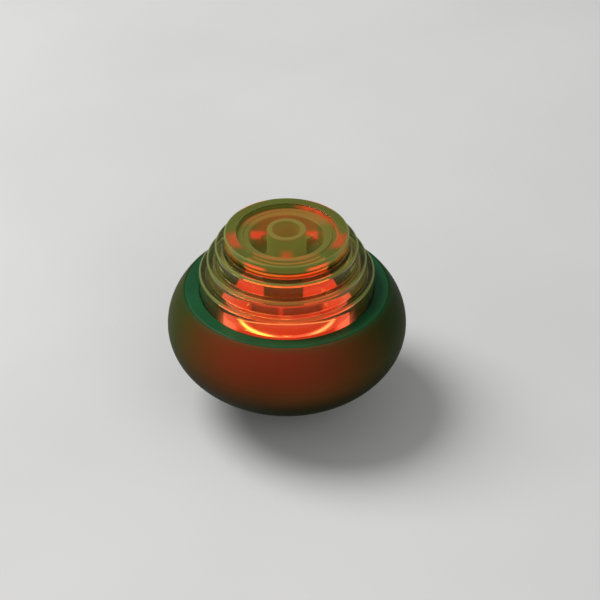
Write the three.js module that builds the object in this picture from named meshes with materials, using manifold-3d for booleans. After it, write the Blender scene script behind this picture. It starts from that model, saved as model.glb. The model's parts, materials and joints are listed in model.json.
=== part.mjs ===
// Light-up spinning top, launched by a wind-up handle that grips the socket in its clear dome.
// Millimetres, +Z up, origin where the tip ball touches the floor; the red lamp faces -Y.
// Parts that touch on the real toy stand FIT apart here, because every mesh is a separate solid.
import * as THREE from "three";
import { mergeVertices } from "three/addons/utils/BufferGeometryUtils.js";
import Module from "manifold-3d";

const wasm = await Module();
wasm.setup();

// ---- Driving dimensions -------------------------------------------------------------------
const FIT = 0.3; // air between parts that touch

// The body is two half ellipsoids, the upper one cut off flat at the collar.
const BODY_RADIUS = 30;
const UPPER_HALF_HEIGHT = 21;
const LOWER_HALF_HEIGHT = 19.1;
const BODY_MID_Z = 23; // height of the widest circle
const WALL = 2;

// The stepped dome, from the top tier down.
const TIERS = [
  { radius: 15.3, top: 50 },
  { radius: 17.6, top: 46.5 },
  { radius: 19.7, top: 42.7 },
  { radius: 21.7, top: 39 },
];
const DOME_TOP_Z = TIERS[0].top;
const DOME_BASE_RADIUS = TIERS.at(-1).radius;
const LENS_WALL = 1.6;

// The launcher's socket, let into the top of the dome.
const RECESS_RADIUS = 12.3;
const RECESS_DEPTH = 1.2;
const PLATE = 1.2; // thickness of the socket's walls
const WELL_RADIUS = 9.2;
const WELL_DEPTH = 5.5;
const POST_RADIUS = 4.85;
const POST_RISE = 0.8; // height of the post above the dome's rim
const POST_HOLE_RADIUS = 3.45;
const POST_HOLE_DEPTH = 6.7;
const RIBS = { height: 1.5, width: 1, angles: [45, 135, 225, 315] };

// The deck: collar, dome flange and tray flange are clamped on the upper shell's ledge.
const COLLAR_TOP_Z = 33.8;
const COLLAR_RADIUS = 25.4;
const COLLAR_DIP = 0.3; // fall of the collar's dished face, from its edge to the dome
const COLLAR_PLATE = 0.9;
const COLLAR_SKIRT = 1.2;
const FLANGE_RADIUS = 23.2;
const DOME_FLANGE = 0.8;
const TRAY_WALL = 0.8;
const LEDGE = 1.4;
const LEDGE_RADIUS = 18.4; // hole in the ledge, which the tray's dish hangs through
const DOME_FLANGE_TOP = COLLAR_TOP_Z - COLLAR_DIP - COLLAR_PLATE - FIT;
const TRAY_TOP = DOME_FLANGE_TOP - DOME_FLANGE - FIT;
const LEDGE_TOP = TRAY_TOP - TRAY_WALL - FIT;
const DISH_FLOOR_Z = 25.2;
const CHANNEL = { inner: 10.8, outer: 13.7, depth: 0.5 }; // seat of the light ring
const LIGHT_RING_HEIGHT = 2.7;
// The hub in the middle of the tray, from its foot up.
const HUB = [
  { radius: 8.6, top: 33.6 },
  { radius: 4.6, top: 36.4 },
];
const HUB_WALL = 1;

// Lamps, 3 mm across, stand on the circuit board under the light ring, 120 degrees apart.
const LAMP_CIRCLE = 12.25;
const LAMP_ANGLES = { led_red: -90, led_green_right: 30, led_green_left: 150 };
const LAMP_RADIUS = 1.5;
const LAMP_HEIGHT = 5.3;
const LEAD_OFFSET = 1.27;
const BOARD_RADIUS = 15.8;
const BOARD_Z = 17.4;
const BOARD = 1.2;
const BOARD_TOP = BOARD_Z + BOARD;
const BOARD_SCREW_CIRCLE = 13;
const BOARD_SCREW_ANGLES = [90, 210, 330];

// Button cells, 11.6 mm by 5.4 mm, in pockets around the axis.
const CELL_RADIUS = 5.8;
const CELL_HEIGHT = 5.4;
const CELL_CIRCLE = 7.3;
const CELL_ANGLES = [90, 210, 330];
const CELL_Z = 8.9;
const SHEET = 0.3; // thickness of the contact strips
const NEGATIVE_TAB = { x: 12.6, y: -3.65, half: 1.1 }; // strip beside one cell, up to the board
const POCKET_RADIUS = 6.15;
const BLOCK_Z = 8.6; // underside of the battery block
const BLOCK_TOP = 15.8;
const ROOF = 1;

// Battery door and its screws.
const DOOR_RADIUS = 15.7;
const DOOR_TOP = BLOCK_Z - FIT;
const DOOR_FACE_Z = 7.45; // the flat inside face, which the bridge strip lies on
const DOOR_SCREW_CIRCLE = 12.3;
const DOOR_SCREW_ANGLES = [30, 150, 270];

// Body screws, each up a well in the lower shell into a boss of the upper shell.
const BODY_SCREW_CIRCLE = 20.8;
const BODY_SCREW_ANGLES = [90, 210, 330];
const SCREW_WELL_RADIUS = 2.7;
const SCREW_SHOULDER_Z = 13.5;
const LOWER_BOSS_RADIUS = 3.4;
const LOWER_BOSS_TOP = 17;
const UPPER_BOSS_RADIUS = 2.5;

// Flywheel ring.
const RING_INNER = 23.9;
const RING_OUTER = 26.4;
const RING_Z = 18.4;
const RING_HEIGHT = 5.4;

// Tip: a steel ball, free to turn in a swaged cup.
const BALL_RADIUS = 2.5;
const BALL_FLAT = 0.8; // radius of the flat worn on the ball where it meets the floor
const BALL_MID_Z = Math.sqrt(BALL_RADIUS ** 2 - BALL_FLAT ** 2);
const CUP_GAP = 0.2;
const CUP_RADIUS = 4;
const CUP_FLANGE = 1.2;
const CUP_MOUTH_Z = 1.2;
const CUP_TOP_Z = 6.9;

// Centrifugal switch on the board: a brass weight on a spring, sliding along +X.
const SWITCH_Z = BOARD_TOP + FIT;
const SWITCH_AXIS_Z = SWITCH_Z + 2.4;
const WEIGHT_RADIUS = 1.2;
const WEIGHT_START = 7.6;
const WEIGHT_LENGTH = 3;
const WEIGHT_TRAVEL = 1.5;
const TROUGH = { start: 3, end: 14.2, half: 2.2, wall: 0.7, height: 4 };

// Segments round a turned part, by its size.
const ROUND = 40;
const MEDIUM_ROUND = 24;
const SMALL_ROUND = 12;

// ---- Materials ----------------------------------------------------------------------------
function material(colour, roughness, metalness = 0) {
  return new THREE.MeshStandardMaterial({ color: colour, roughness, metalness });
}
const LIME_CLEAR = material(0x9fb84e, 0.1);
const RING_CLEAR = material(0xf0b070, 0.15);
const GREEN = material(0x16703a, 0.35);
const OLIVE = material(0x4d5a22, 0.4);
const DARK_GREEN = material(0x24401c, 0.45);
const TRAY_GREEN = material(0x35431d, 0.35);
const STEEL = material(0xb9bcc0, 0.3, 1);
const BRASS = material(0xc8a24a, 0.35, 1);
const BOARD_GREEN = material(0x1c5b33, 0.6);
const EPOXY = material(0x141414, 0.5);
const RED_LENS = material(0xe0301c, 0.2);
const GREEN_LENS = material(0x2fae4a, 0.2);
const WHITE_PLASTIC = material(0xe6e4dc, 0.5);

// ---- Geometry helpers ---------------------------------------------------------------------
// A turned solid about Z from a closed outline of [radius, height] points, in either order.
function turned(outline, segments = ROUND) {
  let area = 0;
  outline.forEach(([r, z], i) => {
    const [nextR, nextZ] = outline[(i + 1) % outline.length];
    area += r * nextZ - nextR * z;
  });
  const ordered = area > 0 ? outline : [...outline].reverse();
  // An outline on the axis starts and ends there; any other closes on itself.
  const onAxis = ordered.findIndex(
    ([r], i) => r === 0 && ordered[(i + ordered.length - 1) % ordered.length][0] === 0,
  );
  const points = onAxis >= 0
    ? [...ordered.slice(onAxis), ...ordered.slice(0, onAxis)]
    : [...ordered, ordered[0]];
  const lathe = new THREE.LatheGeometry(points.map(([r, z]) => new THREE.Vector2(r, z)), segments);
  return lathe.rotateX(Math.PI / 2);
}

function rod(radius, z0, z1, segments = SMALL_ROUND) {
  return turned([[0, z0], [radius, z0], [radius, z1], [0, z1]], segments);
}

function block(x0, x1, y0, y1, z0, z1) {
  return new THREE.BoxGeometry(x1 - x0, y1 - y0, z1 - z0)
    .translate((x0 + x1) / 2, (y0 + y1) / 2, (z0 + z1) / 2);
}

function solid(geometry) {
  const bare = geometry.clone();
  bare.deleteAttribute("normal");
  bare.deleteAttribute("uv");
  const merged = mergeVertices(bare, 1e-4);
  return new wasm.Manifold(new wasm.Mesh({
    numProp: 3,
    vertProperties: merged.attributes.position.array,
    triVerts: new Uint32Array(merged.index.array),
  }));
}

function surface(manifold) {
  const mesh = manifold.getMesh();
  const geometry = new THREE.BufferGeometry();
  geometry.setAttribute("position", new THREE.BufferAttribute(mesh.vertProperties, 3));
  geometry.setIndex(new THREE.BufferAttribute(mesh.triVerts, 1));
  return geometry.toNonIndexed();
}

// One solid from geometries to join and geometries to cut away.
function combine(joined, cut = []) {
  let result = solid(joined[0]);
  joined.slice(1).forEach((g) => { result = result.add(solid(g)); });
  cut.forEach((g) => { result = result.subtract(solid(g)); });
  return surface(result);
}

// A copy of a geometry moved out to a circle at an angle in degrees, and turned with it.
function onCircle(geometry, radius, degrees) {
  return geometry.clone().translate(radius, 0, 0).rotateZ(THREE.MathUtils.degToRad(degrees));
}

const object = new THREE.Group();
function place(name, geometry, look) {
  const mesh = new THREE.Mesh(geometry, look);
  mesh.name = name;
  object.add(mesh);
  return mesh;
}

// ---- Body surface -------------------------------------------------------------------------
// Points of the body's surface, set in by inset, from height z0 to height z1.
function bodyCurve(z0, z1, inset, steps) {
  return Array.from({ length: steps + 1 }, (_, i) => {
    const z = z0 + ((z1 - z0) * i) / steps;
    const halfHeight = z > BODY_MID_Z ? UPPER_HALF_HEIGHT : LOWER_HALF_HEIGHT;
    const share = (z - BODY_MID_Z) / (halfHeight - inset);
    return [(BODY_RADIUS - inset) * Math.sqrt(1 - share * share), z];
  });
}

// Height of the underside at a radius.
function undersideZ(radius) {
  const share = radius / BODY_RADIUS;
  return BODY_MID_Z - LOWER_HALF_HEIGHT * Math.sqrt(1 - share * share);
}

// Points along the underside from one radius to another.
function underside(r0, r1, steps) {
  return Array.from({ length: steps + 1 }, (_, i) => {
    const r = r0 + ((r1 - r0) * i) / steps;
    return [r, undersideZ(r)];
  });
}

// ---- Dome and socket ----------------------------------------------------------------------
function domeLens() {
  const outside = [];
  const inside = [];
  TIERS.forEach(({ radius, top }, i) => {
    const isLast = i === TIERS.length - 1;
    const foot = isLast ? DOME_FLANGE_TOP : TIERS[i + 1].top;
    outside.push([radius, top], [radius, foot]);
    // Under each tread the cavity steps out too; it ends at the foot of the top tier.
    const ceiling = i === 0 ? foot : top - LENS_WALL;
    const cavityFoot = isLast ? foot - DOME_FLANGE : foot - LENS_WALL;
    inside.push([radius - LENS_WALL, ceiling], [radius - LENS_WALL, cavityFoot]);
  });
  const seatZ = DOME_TOP_Z - RECESS_DEPTH - PLATE - FIT;
  const hole = WELL_RADIUS + PLATE + FIT;
  return turned([
    [hole, seatZ],
    [RECESS_RADIUS, seatZ],
    [RECESS_RADIUS, DOME_TOP_Z],
    ...outside,
    [FLANGE_RADIUS, DOME_FLANGE_TOP],
    [FLANGE_RADIUS, DOME_FLANGE_TOP - DOME_FLANGE],
    ...inside.reverse(),
    [hole, TIERS[1].top],
  ]);
}

function launchSocket() {
  const ledge = DOME_TOP_Z - RECESS_DEPTH;
  const floor = ledge - WELL_DEPTH;
  const postTop = DOME_TOP_Z + POST_RISE;
  const bead = { inner: 10.7, outer: 11.3, height: 0.4 };
  const body = turned([
    [0, floor - PLATE],
    [WELL_RADIUS + PLATE, floor - PLATE],
    [WELL_RADIUS + PLATE, ledge - PLATE],
    [RECESS_RADIUS - FIT, ledge - PLATE],
    [RECESS_RADIUS - FIT, ledge],
    [bead.outer, ledge],
    [bead.outer - 0.1, ledge + bead.height],
    [bead.inner + 0.1, ledge + bead.height],
    [bead.inner, ledge],
    [WELL_RADIUS, ledge],
    [WELL_RADIUS, floor],
    [POST_RADIUS, floor],
    [POST_RADIUS, postTop],
    [POST_HOLE_RADIUS, postTop],
    [POST_HOLE_RADIUS, postTop - POST_HOLE_DEPTH],
    [0, postTop - POST_HOLE_DEPTH],
  ]);
  // Low ribs on the floor of the well, which the launcher's claws push against.
  const rib = block(POST_RADIUS - 0.4, WELL_RADIUS + 0.4, -RIBS.width / 2, RIBS.width / 2,
    floor - 0.4, floor + RIBS.height);
  return combine([body, ...RIBS.angles.map((angle) => onCircle(rib, 0, angle))]);
}

// ---- Deck ---------------------------------------------------------------------------------
function collarRing() {
  const inner = DOME_BASE_RADIUS + FIT;
  const skirtInner = COLLAR_RADIUS - COLLAR_SKIRT;
  const innerTop = COLLAR_TOP_Z - COLLAR_DIP;
  return turned([
    [inner, innerTop - COLLAR_PLATE],
    [skirtInner, innerTop - COLLAR_PLATE],
    [skirtInner, LEDGE_TOP + FIT],
    [COLLAR_RADIUS, LEDGE_TOP + FIT],
    [COLLAR_RADIUS, COLLAR_TOP_Z - 0.3],
    [COLLAR_RADIUS - 0.3, COLLAR_TOP_Z],
    [inner, innerTop],
  ]);
}

// A dish that hangs from its flange, with a channel for the light ring and a stepped hub.
function lampTray() {
  const rim = LEDGE_RADIUS - FIT;
  const floorEdge = rim - 2.4;
  const seat = DISH_FLOOR_Z - CHANNEL.depth;
  const under = seat - TRAY_WALL;
  const [low, high] = HUB;
  const dish = turned([
    [FLANGE_RADIUS, TRAY_TOP],
    [rim - TRAY_WALL, TRAY_TOP],
    [floorEdge - TRAY_WALL, DISH_FLOOR_Z],
    [CHANNEL.outer, DISH_FLOOR_Z],
    [CHANNEL.outer, seat],
    [CHANNEL.inner, seat],
    [CHANNEL.inner, DISH_FLOOR_Z],
    [low.radius, DISH_FLOOR_Z],
    [low.radius, low.top],
    [high.radius, low.top],
    [high.radius, high.top],
    [0, high.top],
    [0, high.top - HUB_WALL],
    [high.radius - HUB_WALL, high.top - HUB_WALL],
    [high.radius - HUB_WALL, low.top - HUB_WALL],
    [low.radius - HUB_WALL, low.top - HUB_WALL],
    [low.radius - HUB_WALL, under],
    [floorEdge, under],
    [rim, TRAY_TOP - TRAY_WALL],
    [FLANGE_RADIUS, TRAY_TOP - TRAY_WALL],
  ]);
  const hole = rod(LAMP_RADIUS + FIT, under - 1, DISH_FLOOR_Z + 1, 16);
  return combine([dish], Object.values(LAMP_ANGLES).map((a) => onCircle(hole, LAMP_CIRCLE, a)));
}

// A clear ring over the lamps, which carries their light round the axis.
function lightRing() {
  const foot = DISH_FLOOR_Z - CHANNEL.depth + FIT;
  const inner = CHANNEL.inner + FIT;
  const outer = CHANNEL.outer - FIT;
  const half = (outer - inner) / 2;
  const shoulder = foot + LIGHT_RING_HEIGHT - half;
  const steps = 5;
  const crown = Array.from({ length: steps + 1 }, (_, i) => {
    const angle = (Math.PI * i) / steps;
    return [(inner + outer) / 2 + half * Math.cos(angle), shoulder + half * Math.sin(angle)];
  });
  return turned([[inner, foot], [outer, foot], ...crown]);
}

// ---- Shells -------------------------------------------------------------------------------
function upperShell() {
  const parting = BODY_MID_Z + FIT / 2;
  const mouth = COLLAR_RADIUS + FIT;
  const edgeZ = COLLAR_TOP_Z - 0.2;
  const ledgeFoot = LEDGE_TOP - LEDGE;
  const ribZ = RING_Z + RING_HEIGHT + FIT;
  const shell = turned([
    ...bodyCurve(parting, edgeZ, 0, 7),
    [mouth, edgeZ],
    [mouth, LEDGE_TOP],
    [LEDGE_RADIUS, LEDGE_TOP],
    [LEDGE_RADIUS, ledgeFoot],
    ...bodyCurve(ledgeFoot, ribZ + 1, WALL, 3),
    [RING_INNER + 0.6, ribZ + 1],
    [RING_INNER + 0.6, ribZ],
    ...bodyCurve(ribZ, parting, WALL, 1),
  ]);
  const boss = rod(UPPER_BOSS_RADIUS, LOWER_BOSS_TOP + FIT, LEDGE_TOP - LEDGE / 2);
  const pilot = rod(1.2, LOWER_BOSS_TOP - 1, LEDGE_TOP - LEDGE - 2, 8);
  return combine(
    [shell, ...BODY_SCREW_ANGLES.map((angle) => onCircle(boss, BODY_SCREW_CIRCLE, angle))],
    BODY_SCREW_ANGLES.map((angle) => onCircle(pilot, BODY_SCREW_CIRCLE, angle)),
  );
}

function lowerShell() {
  const parting = BODY_MID_Z - FIT / 2;
  const mouth = DOOR_RADIUS + FIT;
  const shelfZ = RING_Z - FIT;
  const shelfRadius = RING_INNER + 0.4;
  const shell = turned([
    [mouth, undersideZ(mouth)],
    ...underside(mouth + 2, BODY_RADIUS * 0.88, 4),
    ...bodyCurve(BODY_MID_Z - 7, parting, 0, 3),
    ...bodyCurve(parting, shelfZ, WALL, 1),
    [shelfRadius, shelfZ],
    [shelfRadius, shelfZ - 1],
    ...bodyCurve(shelfZ - 1, BLOCK_Z + 1.6, WALL, 4),
    [mouth - 2, BLOCK_Z + 1.6],
    [mouth - 2, BLOCK_Z],
    [mouth, BLOCK_Z],
  ]);
  const blockBody = rod(mouth - 1, BLOCK_Z, BLOCK_TOP, ROUND);
  // Each boss is trimmed to the inside of the shell, clear of its outer face.
  const bulk = turned([[0, BLOCK_Z], ...bodyCurve(BLOCK_Z, LOWER_BOSS_TOP, WALL / 2, 4),
    [0, LOWER_BOSS_TOP]]);
  const post = onCircle(rod(LOWER_BOSS_RADIUS, BLOCK_Z, LOWER_BOSS_TOP, 20), BODY_SCREW_CIRCLE, 0);
  const boss = surface(solid(post).intersect(solid(bulk)));
  const standoff = rod(1.9, BLOCK_TOP - 0.5, BOARD_Z - FIT);
  const pocket = rod(POCKET_RADIUS, BLOCK_Z - 1, BLOCK_TOP - ROOF, MEDIUM_ROUND);
  const tabSlot = block(-1.6, 1.6, -0.6, 0.6, BLOCK_TOP - ROOF - 0.5, BLOCK_TOP + 0.5);
  const doorPilot = rod(0.9, BLOCK_Z - 1, BLOCK_TOP - 2, 8);
  const boardPilot = rod(0.8, BLOCK_TOP - 0.5, BOARD_Z, 8);
  const well = rod(SCREW_WELL_RADIUS, 0, SCREW_SHOULDER_Z, 20);
  const shank = rod(1.3, SCREW_SHOULDER_Z - 1, LOWER_BOSS_TOP + 1, 8);
  const { x, y, half } = NEGATIVE_TAB;
  const tabNotch = block(x - 1.5, x + SHEET + FIT, y - half - FIT, y + half + FIT,
    BLOCK_Z - 1, BLOCK_TOP + 0.5);
  const at = (geometry, radius, angles) => angles.map((angle) => onCircle(geometry, radius, angle));
  return combine(
    [
      shell,
      blockBody,
      ...at(boss, 0, BODY_SCREW_ANGLES),
      ...at(standoff, BOARD_SCREW_CIRCLE, BOARD_SCREW_ANGLES),
    ],
    [
      ...at(pocket, CELL_CIRCLE, CELL_ANGLES),
      ...at(tabSlot, CELL_CIRCLE, CELL_ANGLES),
      tabNotch,
      ...at(doorPilot, DOOR_SCREW_CIRCLE, DOOR_SCREW_ANGLES),
      ...at(boardPilot, BOARD_SCREW_CIRCLE, BOARD_SCREW_ANGLES),
      ...at(well, BODY_SCREW_CIRCLE, BODY_SCREW_ANGLES),
      ...at(shank, BODY_SCREW_CIRCLE, BODY_SCREW_ANGLES),
    ],
  );
}

// ---- Battery door and tip -----------------------------------------------------------------
function batteryDoor() {
  const hole = CUP_RADIUS + FIT;
  const counterbore = CUP_RADIUS + CUP_FLANGE + FIT;
  const counterboreZ = CUP_TOP_Z - 2 * FIT;
  const boss = { foot: 7.2, mouth: 5.4, mouthZ: 2.7 };
  const rimInner = DOOR_RADIUS - 1.9;
  const cap = turned([
    [hole, boss.mouthZ],
    [boss.mouth, boss.mouthZ],
    ...underside(boss.foot, DOOR_RADIUS, 4),
    [DOOR_RADIUS, DOOR_TOP],
    [rimInner, DOOR_TOP],
    [rimInner, DOOR_FACE_Z],
    [counterbore, DOOR_FACE_Z],
    [counterbore, counterboreZ],
    [hole, counterboreZ],
  ]);
  const seat = rod(1.9, 0, undersideZ(DOOR_SCREW_CIRCLE) + 1.1, 16);
  const through = rod(1.1, 0, DOOR_TOP + 1, 8);
  const at = (geometry) => DOOR_SCREW_ANGLES.map((a) => onCircle(geometry, DOOR_SCREW_CIRCLE, a));
  return combine([cap], [...at(seat), ...at(through)]);
}

function tipCup() {
  const cavity = BALL_RADIUS + CUP_GAP;
  const mouthAngle = Math.asin((CUP_MOUTH_Z - BALL_MID_Z) / cavity);
  const steps = 6;
  const bowl = Array.from({ length: steps + 1 }, (_, i) => {
    const angle = mouthAngle + ((Math.PI / 2 - mouthAngle) * i) / steps;
    const radius = i === steps ? 0 : cavity * Math.cos(angle);
    return [radius, BALL_MID_Z + cavity * Math.sin(angle)];
  });
  return turned([
    ...bowl,
    [0, CUP_TOP_Z],
    [CUP_RADIUS + CUP_FLANGE, CUP_TOP_Z],
    [CUP_RADIUS + CUP_FLANGE, CUP_TOP_Z - FIT],
    [CUP_RADIUS, CUP_TOP_Z - FIT],
    [CUP_RADIUS, 2.3],
    [3.2, CUP_MOUTH_Z],
  ], MEDIUM_ROUND);
}

function tipBall() {
  const flatAngle = -Math.acos(BALL_FLAT / BALL_RADIUS);
  const steps = 9;
  const arc = Array.from({ length: steps + 1 }, (_, i) => {
    const angle = flatAngle + ((Math.PI / 2 - flatAngle) * i) / steps;
    const radius = i === steps ? 0 : BALL_RADIUS * Math.cos(angle);
    return [radius, BALL_MID_Z + BALL_RADIUS * Math.sin(angle)];
  });
  return turned([[0, 0], ...arc], MEDIUM_ROUND);
}

// A self-tapping screw with its head down: a cross recess, a plain shank and a point.
function screw(headZ, headRadius, headHeight, shankRadius, length) {
  const shankFoot = headZ + headHeight;
  const body = turned([
    [0, headZ],
    [headRadius * 0.8, headZ],
    [headRadius, headZ + headHeight * 0.5],
    [headRadius, shankFoot],
    [shankRadius, shankFoot],
    [shankRadius, shankFoot + length - 1],
    [0, shankFoot + length],
  ], SMALL_ROUND);
  const slot = headRadius * 0.6;
  const depth = headHeight * 0.55;
  return combine([body], [
    block(-slot, slot, -0.25, 0.25, headZ - 1, headZ + depth),
    block(-0.25, 0.25, -slot, slot, headZ - 1, headZ + depth),
  ]);
}

// ---- Electronics --------------------------------------------------------------------------
function circuitBoard() {
  const hole = rod(1.1, BOARD_Z - 1, BOARD_TOP + 1, 8);
  const leadHole = rod(0.7, BOARD_Z - 1, BOARD_TOP + 1, 6);
  const cuts = BOARD_SCREW_ANGLES.map((angle) => onCircle(hole, BOARD_SCREW_CIRCLE, angle));
  Object.values(LAMP_ANGLES).forEach((angle) => {
    [-LEAD_OFFSET, LEAD_OFFSET].forEach((offset) => {
      cuts.push(onCircle(leadHole.clone().translate(0, offset, 0), LAMP_CIRCLE, angle));
    });
  });
  return combine([rod(BOARD_RADIUS, BOARD_Z, BOARD_TOP, ROUND)], cuts);
}

// A 3 mm lamp: flanged body with a round nose and two leads, its flat side towards the axis.
function lamp(degrees) {
  const flangeZ = BOARD_TOP + FIT;
  const noseZ = flangeZ + LAMP_HEIGHT - LAMP_RADIUS;
  const steps = 4;
  const nose = Array.from({ length: steps }, (_, i) => {
    const angle = ((Math.PI / 2) * (i + 1)) / steps;
    const radius = i === steps - 1 ? 0 : LAMP_RADIUS * Math.cos(angle);
    return [radius, noseZ + LAMP_RADIUS * Math.sin(angle)];
  });
  const body = turned([
    [0, flangeZ],
    [LAMP_RADIUS + 0.4, flangeZ],
    [LAMP_RADIUS + 0.4, flangeZ + 1],
    [LAMP_RADIUS, flangeZ + 1],
    [LAMP_RADIUS, noseZ],
    ...nose,
  ], 16);
  const lead = (y) => block(-0.25, 0.25, y - 0.25, y + 0.25, BOARD_Z - 0.9, flangeZ + 0.5);
  const flat = block(-4, -LAMP_RADIUS, -4, 4, flangeZ - 0.1, flangeZ + 1.1);
  const whole = combine([body, lead(-LEAD_OFFSET), lead(LEAD_OFFSET)], [flat]);
  return onCircle(whole, LAMP_CIRCLE, degrees);
}

function controllerChip() {
  const blob = { radius: 3.4, height: 1.5, x: -6.4, y: -2.2 };
  const foot = BOARD_TOP + FIT;
  return turned([
    [0, foot],
    [blob.radius, foot],
    [blob.radius * 0.85, foot + blob.height * 0.6],
    [blob.radius * 0.5, foot + blob.height * 0.92],
    [0, foot + blob.height],
  ], 16).translate(blob.x, blob.y, 0);
}

function resistor(x, y) {
  const foot = BOARD_TOP + FIT;
  return block(x - 1, x + 1, y - 0.6, y + 0.6, foot, foot + 0.6);
}

function switchTrough() {
  const { start, end, half, wall, height } = TROUGH;
  const outer = block(start, end, -half, half, SWITCH_Z, SWITCH_Z + height);
  const channel = block(start + wall, end - wall, -half + wall, half - wall,
    SWITCH_Z + wall, SWITCH_Z + height + 1);
  return combine([outer], [channel]);
}

function switchWeight() {
  return rod(WEIGHT_RADIUS, 0, WEIGHT_LENGTH, 16)
    .rotateY(Math.PI / 2)
    .translate(WEIGHT_START, 0, SWITCH_AXIS_Z);
}

function switchContact() {
  const { end, half, wall } = TROUGH;
  const face = WEIGHT_START + WEIGHT_LENGTH + WEIGHT_TRAVEL + FIT;
  const floor = SWITCH_Z + wall + FIT;
  const side = half - wall - FIT;
  const plate = block(face, face + 0.5, -side, side, floor, SWITCH_Z + TROUGH.height - 0.4);
  const foot = block(face, end - wall - FIT, -side, side, floor, floor + 0.4);
  return combine([plate, foot]);
}

class Helix extends THREE.Curve {
  constructor(radius, turns, start, end, axisZ) {
    super();
    Object.assign(this, { radius, turns, start, end, axisZ });
  }

  getPoint(t, target = new THREE.Vector3()) {
    const angle = t * this.turns * Math.PI * 2;
    return target.set(
      this.start + (this.end - this.start) * t,
      this.radius * Math.cos(angle),
      this.axisZ + this.radius * Math.sin(angle),
    );
  }
}

function switchSpring() {
  const wire = 0.18;
  const turns = 4;
  const ends = TROUGH.start + TROUGH.wall + FIT + wire;
  const path = new Helix(0.85, turns, ends, WEIGHT_START - FIT - wire, SWITCH_AXIS_Z);
  const section = new THREE.Shape();
  const sides = 4;
  for (let i = 0; i < sides; i += 1) {
    const angle = (i / sides) * Math.PI * 2;
    section[i ? "lineTo" : "moveTo"](wire * Math.cos(angle), wire * Math.sin(angle));
  }
  section.closePath();
  return new THREE.ExtrudeGeometry(section, { steps: turns * 12, extrudePath: path });
}

// ---- Battery contacts ---------------------------------------------------------------------
function cellPoint(index) {
  const angle = THREE.MathUtils.degToRad(CELL_ANGLES[index]);
  return new THREE.Vector2(CELL_CIRCLE * Math.cos(angle), CELL_CIRCLE * Math.sin(angle));
}

// A flat strip between two points with round pads at its ends.
function strip(from, to, padRadius, width, z) {
  const length = from.distanceTo(to);
  const middle = from.clone().add(to).multiplyScalar(0.5);
  const bar = block(-length / 2, length / 2, -width / 2, width / 2, z, z + SHEET)
    .rotateZ(Math.atan2(to.y - from.y, to.x - from.x))
    .translate(middle.x, middle.y, 0);
  const pad = (p) => rod(padRadius, z, z + SHEET).translate(p.x, p.y, 0);
  return [bar, pad(from), pad(to)];
}

// The positive strip lies over one cell, with a tab up through the roof to the board.
function positiveContact() {
  const z = CELL_Z + CELL_HEIGHT + FIT / 2;
  const p = cellPoint(0);
  const pad = rod(3, z, z + SHEET, 16).translate(p.x, p.y, 0);
  const tab = block(-1.2, 1.2, -0.15, 0.15, z, BOARD_Z - FIT);
  return combine([pad, onCircle(tab, CELL_CIRCLE, CELL_ANGLES[0])]);
}

// The negative strip lies under one cell and runs up beside its pocket to the board.
function negativeContact() {
  const z = CELL_Z - FIT / 2 - SHEET;
  const p = cellPoint(2);
  const { x, y, half } = NEGATIVE_TAB;
  return combine([
    rod(3, z, z + SHEET, 16).translate(p.x, p.y, 0),
    block(p.x, x + SHEET, y - half, y + half, z, z + SHEET),
    block(x, x + SHEET, y - half, y + half, z, BOARD_Z - FIT),
  ]);
}

// The bridge on the door joins two cells from below.
function doorBridge() {
  const z = DOOR_FACE_Z + FIT;
  return combine(strip(cellPoint(0), cellPoint(1), 2.6, 2.2, z));
}

// The strip in the roof joins two cells from above, folded over the wall between the pockets.
function roofBridge() {
  const z = BLOCK_TOP + FIT;
  const foot = CELL_Z + CELL_HEIGHT + FIT / 2;
  const tab = block(-1.2, 1.2, -0.15, 0.15, foot, z + SHEET);
  return combine([
    ...strip(cellPoint(1), cellPoint(2), 1.5, 2, z),
    onCircle(tab, CELL_CIRCLE, CELL_ANGLES[1]),
    onCircle(tab, CELL_CIRCLE, CELL_ANGLES[2]),
  ]);
}

// ---- Assembly -----------------------------------------------------------------------------
place("dome_lens", domeLens(), LIME_CLEAR);
place("launch_socket", launchSocket(), LIME_CLEAR);
place("collar_ring", collarRing(), GREEN);
place("lamp_tray", lampTray(), TRAY_GREEN);
place("light_ring", lightRing(), RING_CLEAR);
place("upper_shell", upperShell(), OLIVE);
place("lower_shell", lowerShell(), DARK_GREEN);
place("flywheel_ring", turned([
  [RING_INNER, RING_Z],
  [RING_OUTER - 0.6, RING_Z],
  [RING_OUTER, RING_Z + 0.8],
  [RING_OUTER, RING_Z + RING_HEIGHT],
  [RING_INNER, RING_Z + RING_HEIGHT],
]), STEEL);

place("battery_door", batteryDoor(), DARK_GREEN);
place("tip_cup", tipCup(), BRASS);
place("tip_ball", tipBall(), STEEL);
DOOR_SCREW_ANGLES.forEach((angle, i) => {
  const head = undersideZ(DOOR_SCREW_CIRCLE) - 0.2;
  const mesh = place(`door_screw_${i + 1}`, screw(head, 1.6, 1, 0.6, 6), STEEL);
  mesh.rotation.z = THREE.MathUtils.degToRad(angle);
  mesh.position.set(DOOR_SCREW_CIRCLE, 0, 0).applyEuler(mesh.rotation);
});
BODY_SCREW_ANGLES.forEach((angle, i) => {
  const head = { radius: 2.2, height: 1.6 };
  const headZ = SCREW_SHOULDER_Z - FIT - head.height;
  const mesh = place(`body_screw_${i + 1}`, screw(headZ, head.radius, head.height, 0.9, 11), STEEL);
  mesh.rotation.z = THREE.MathUtils.degToRad(angle);
  mesh.position.set(BODY_SCREW_CIRCLE, 0, 0).applyEuler(mesh.rotation);
});

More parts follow.
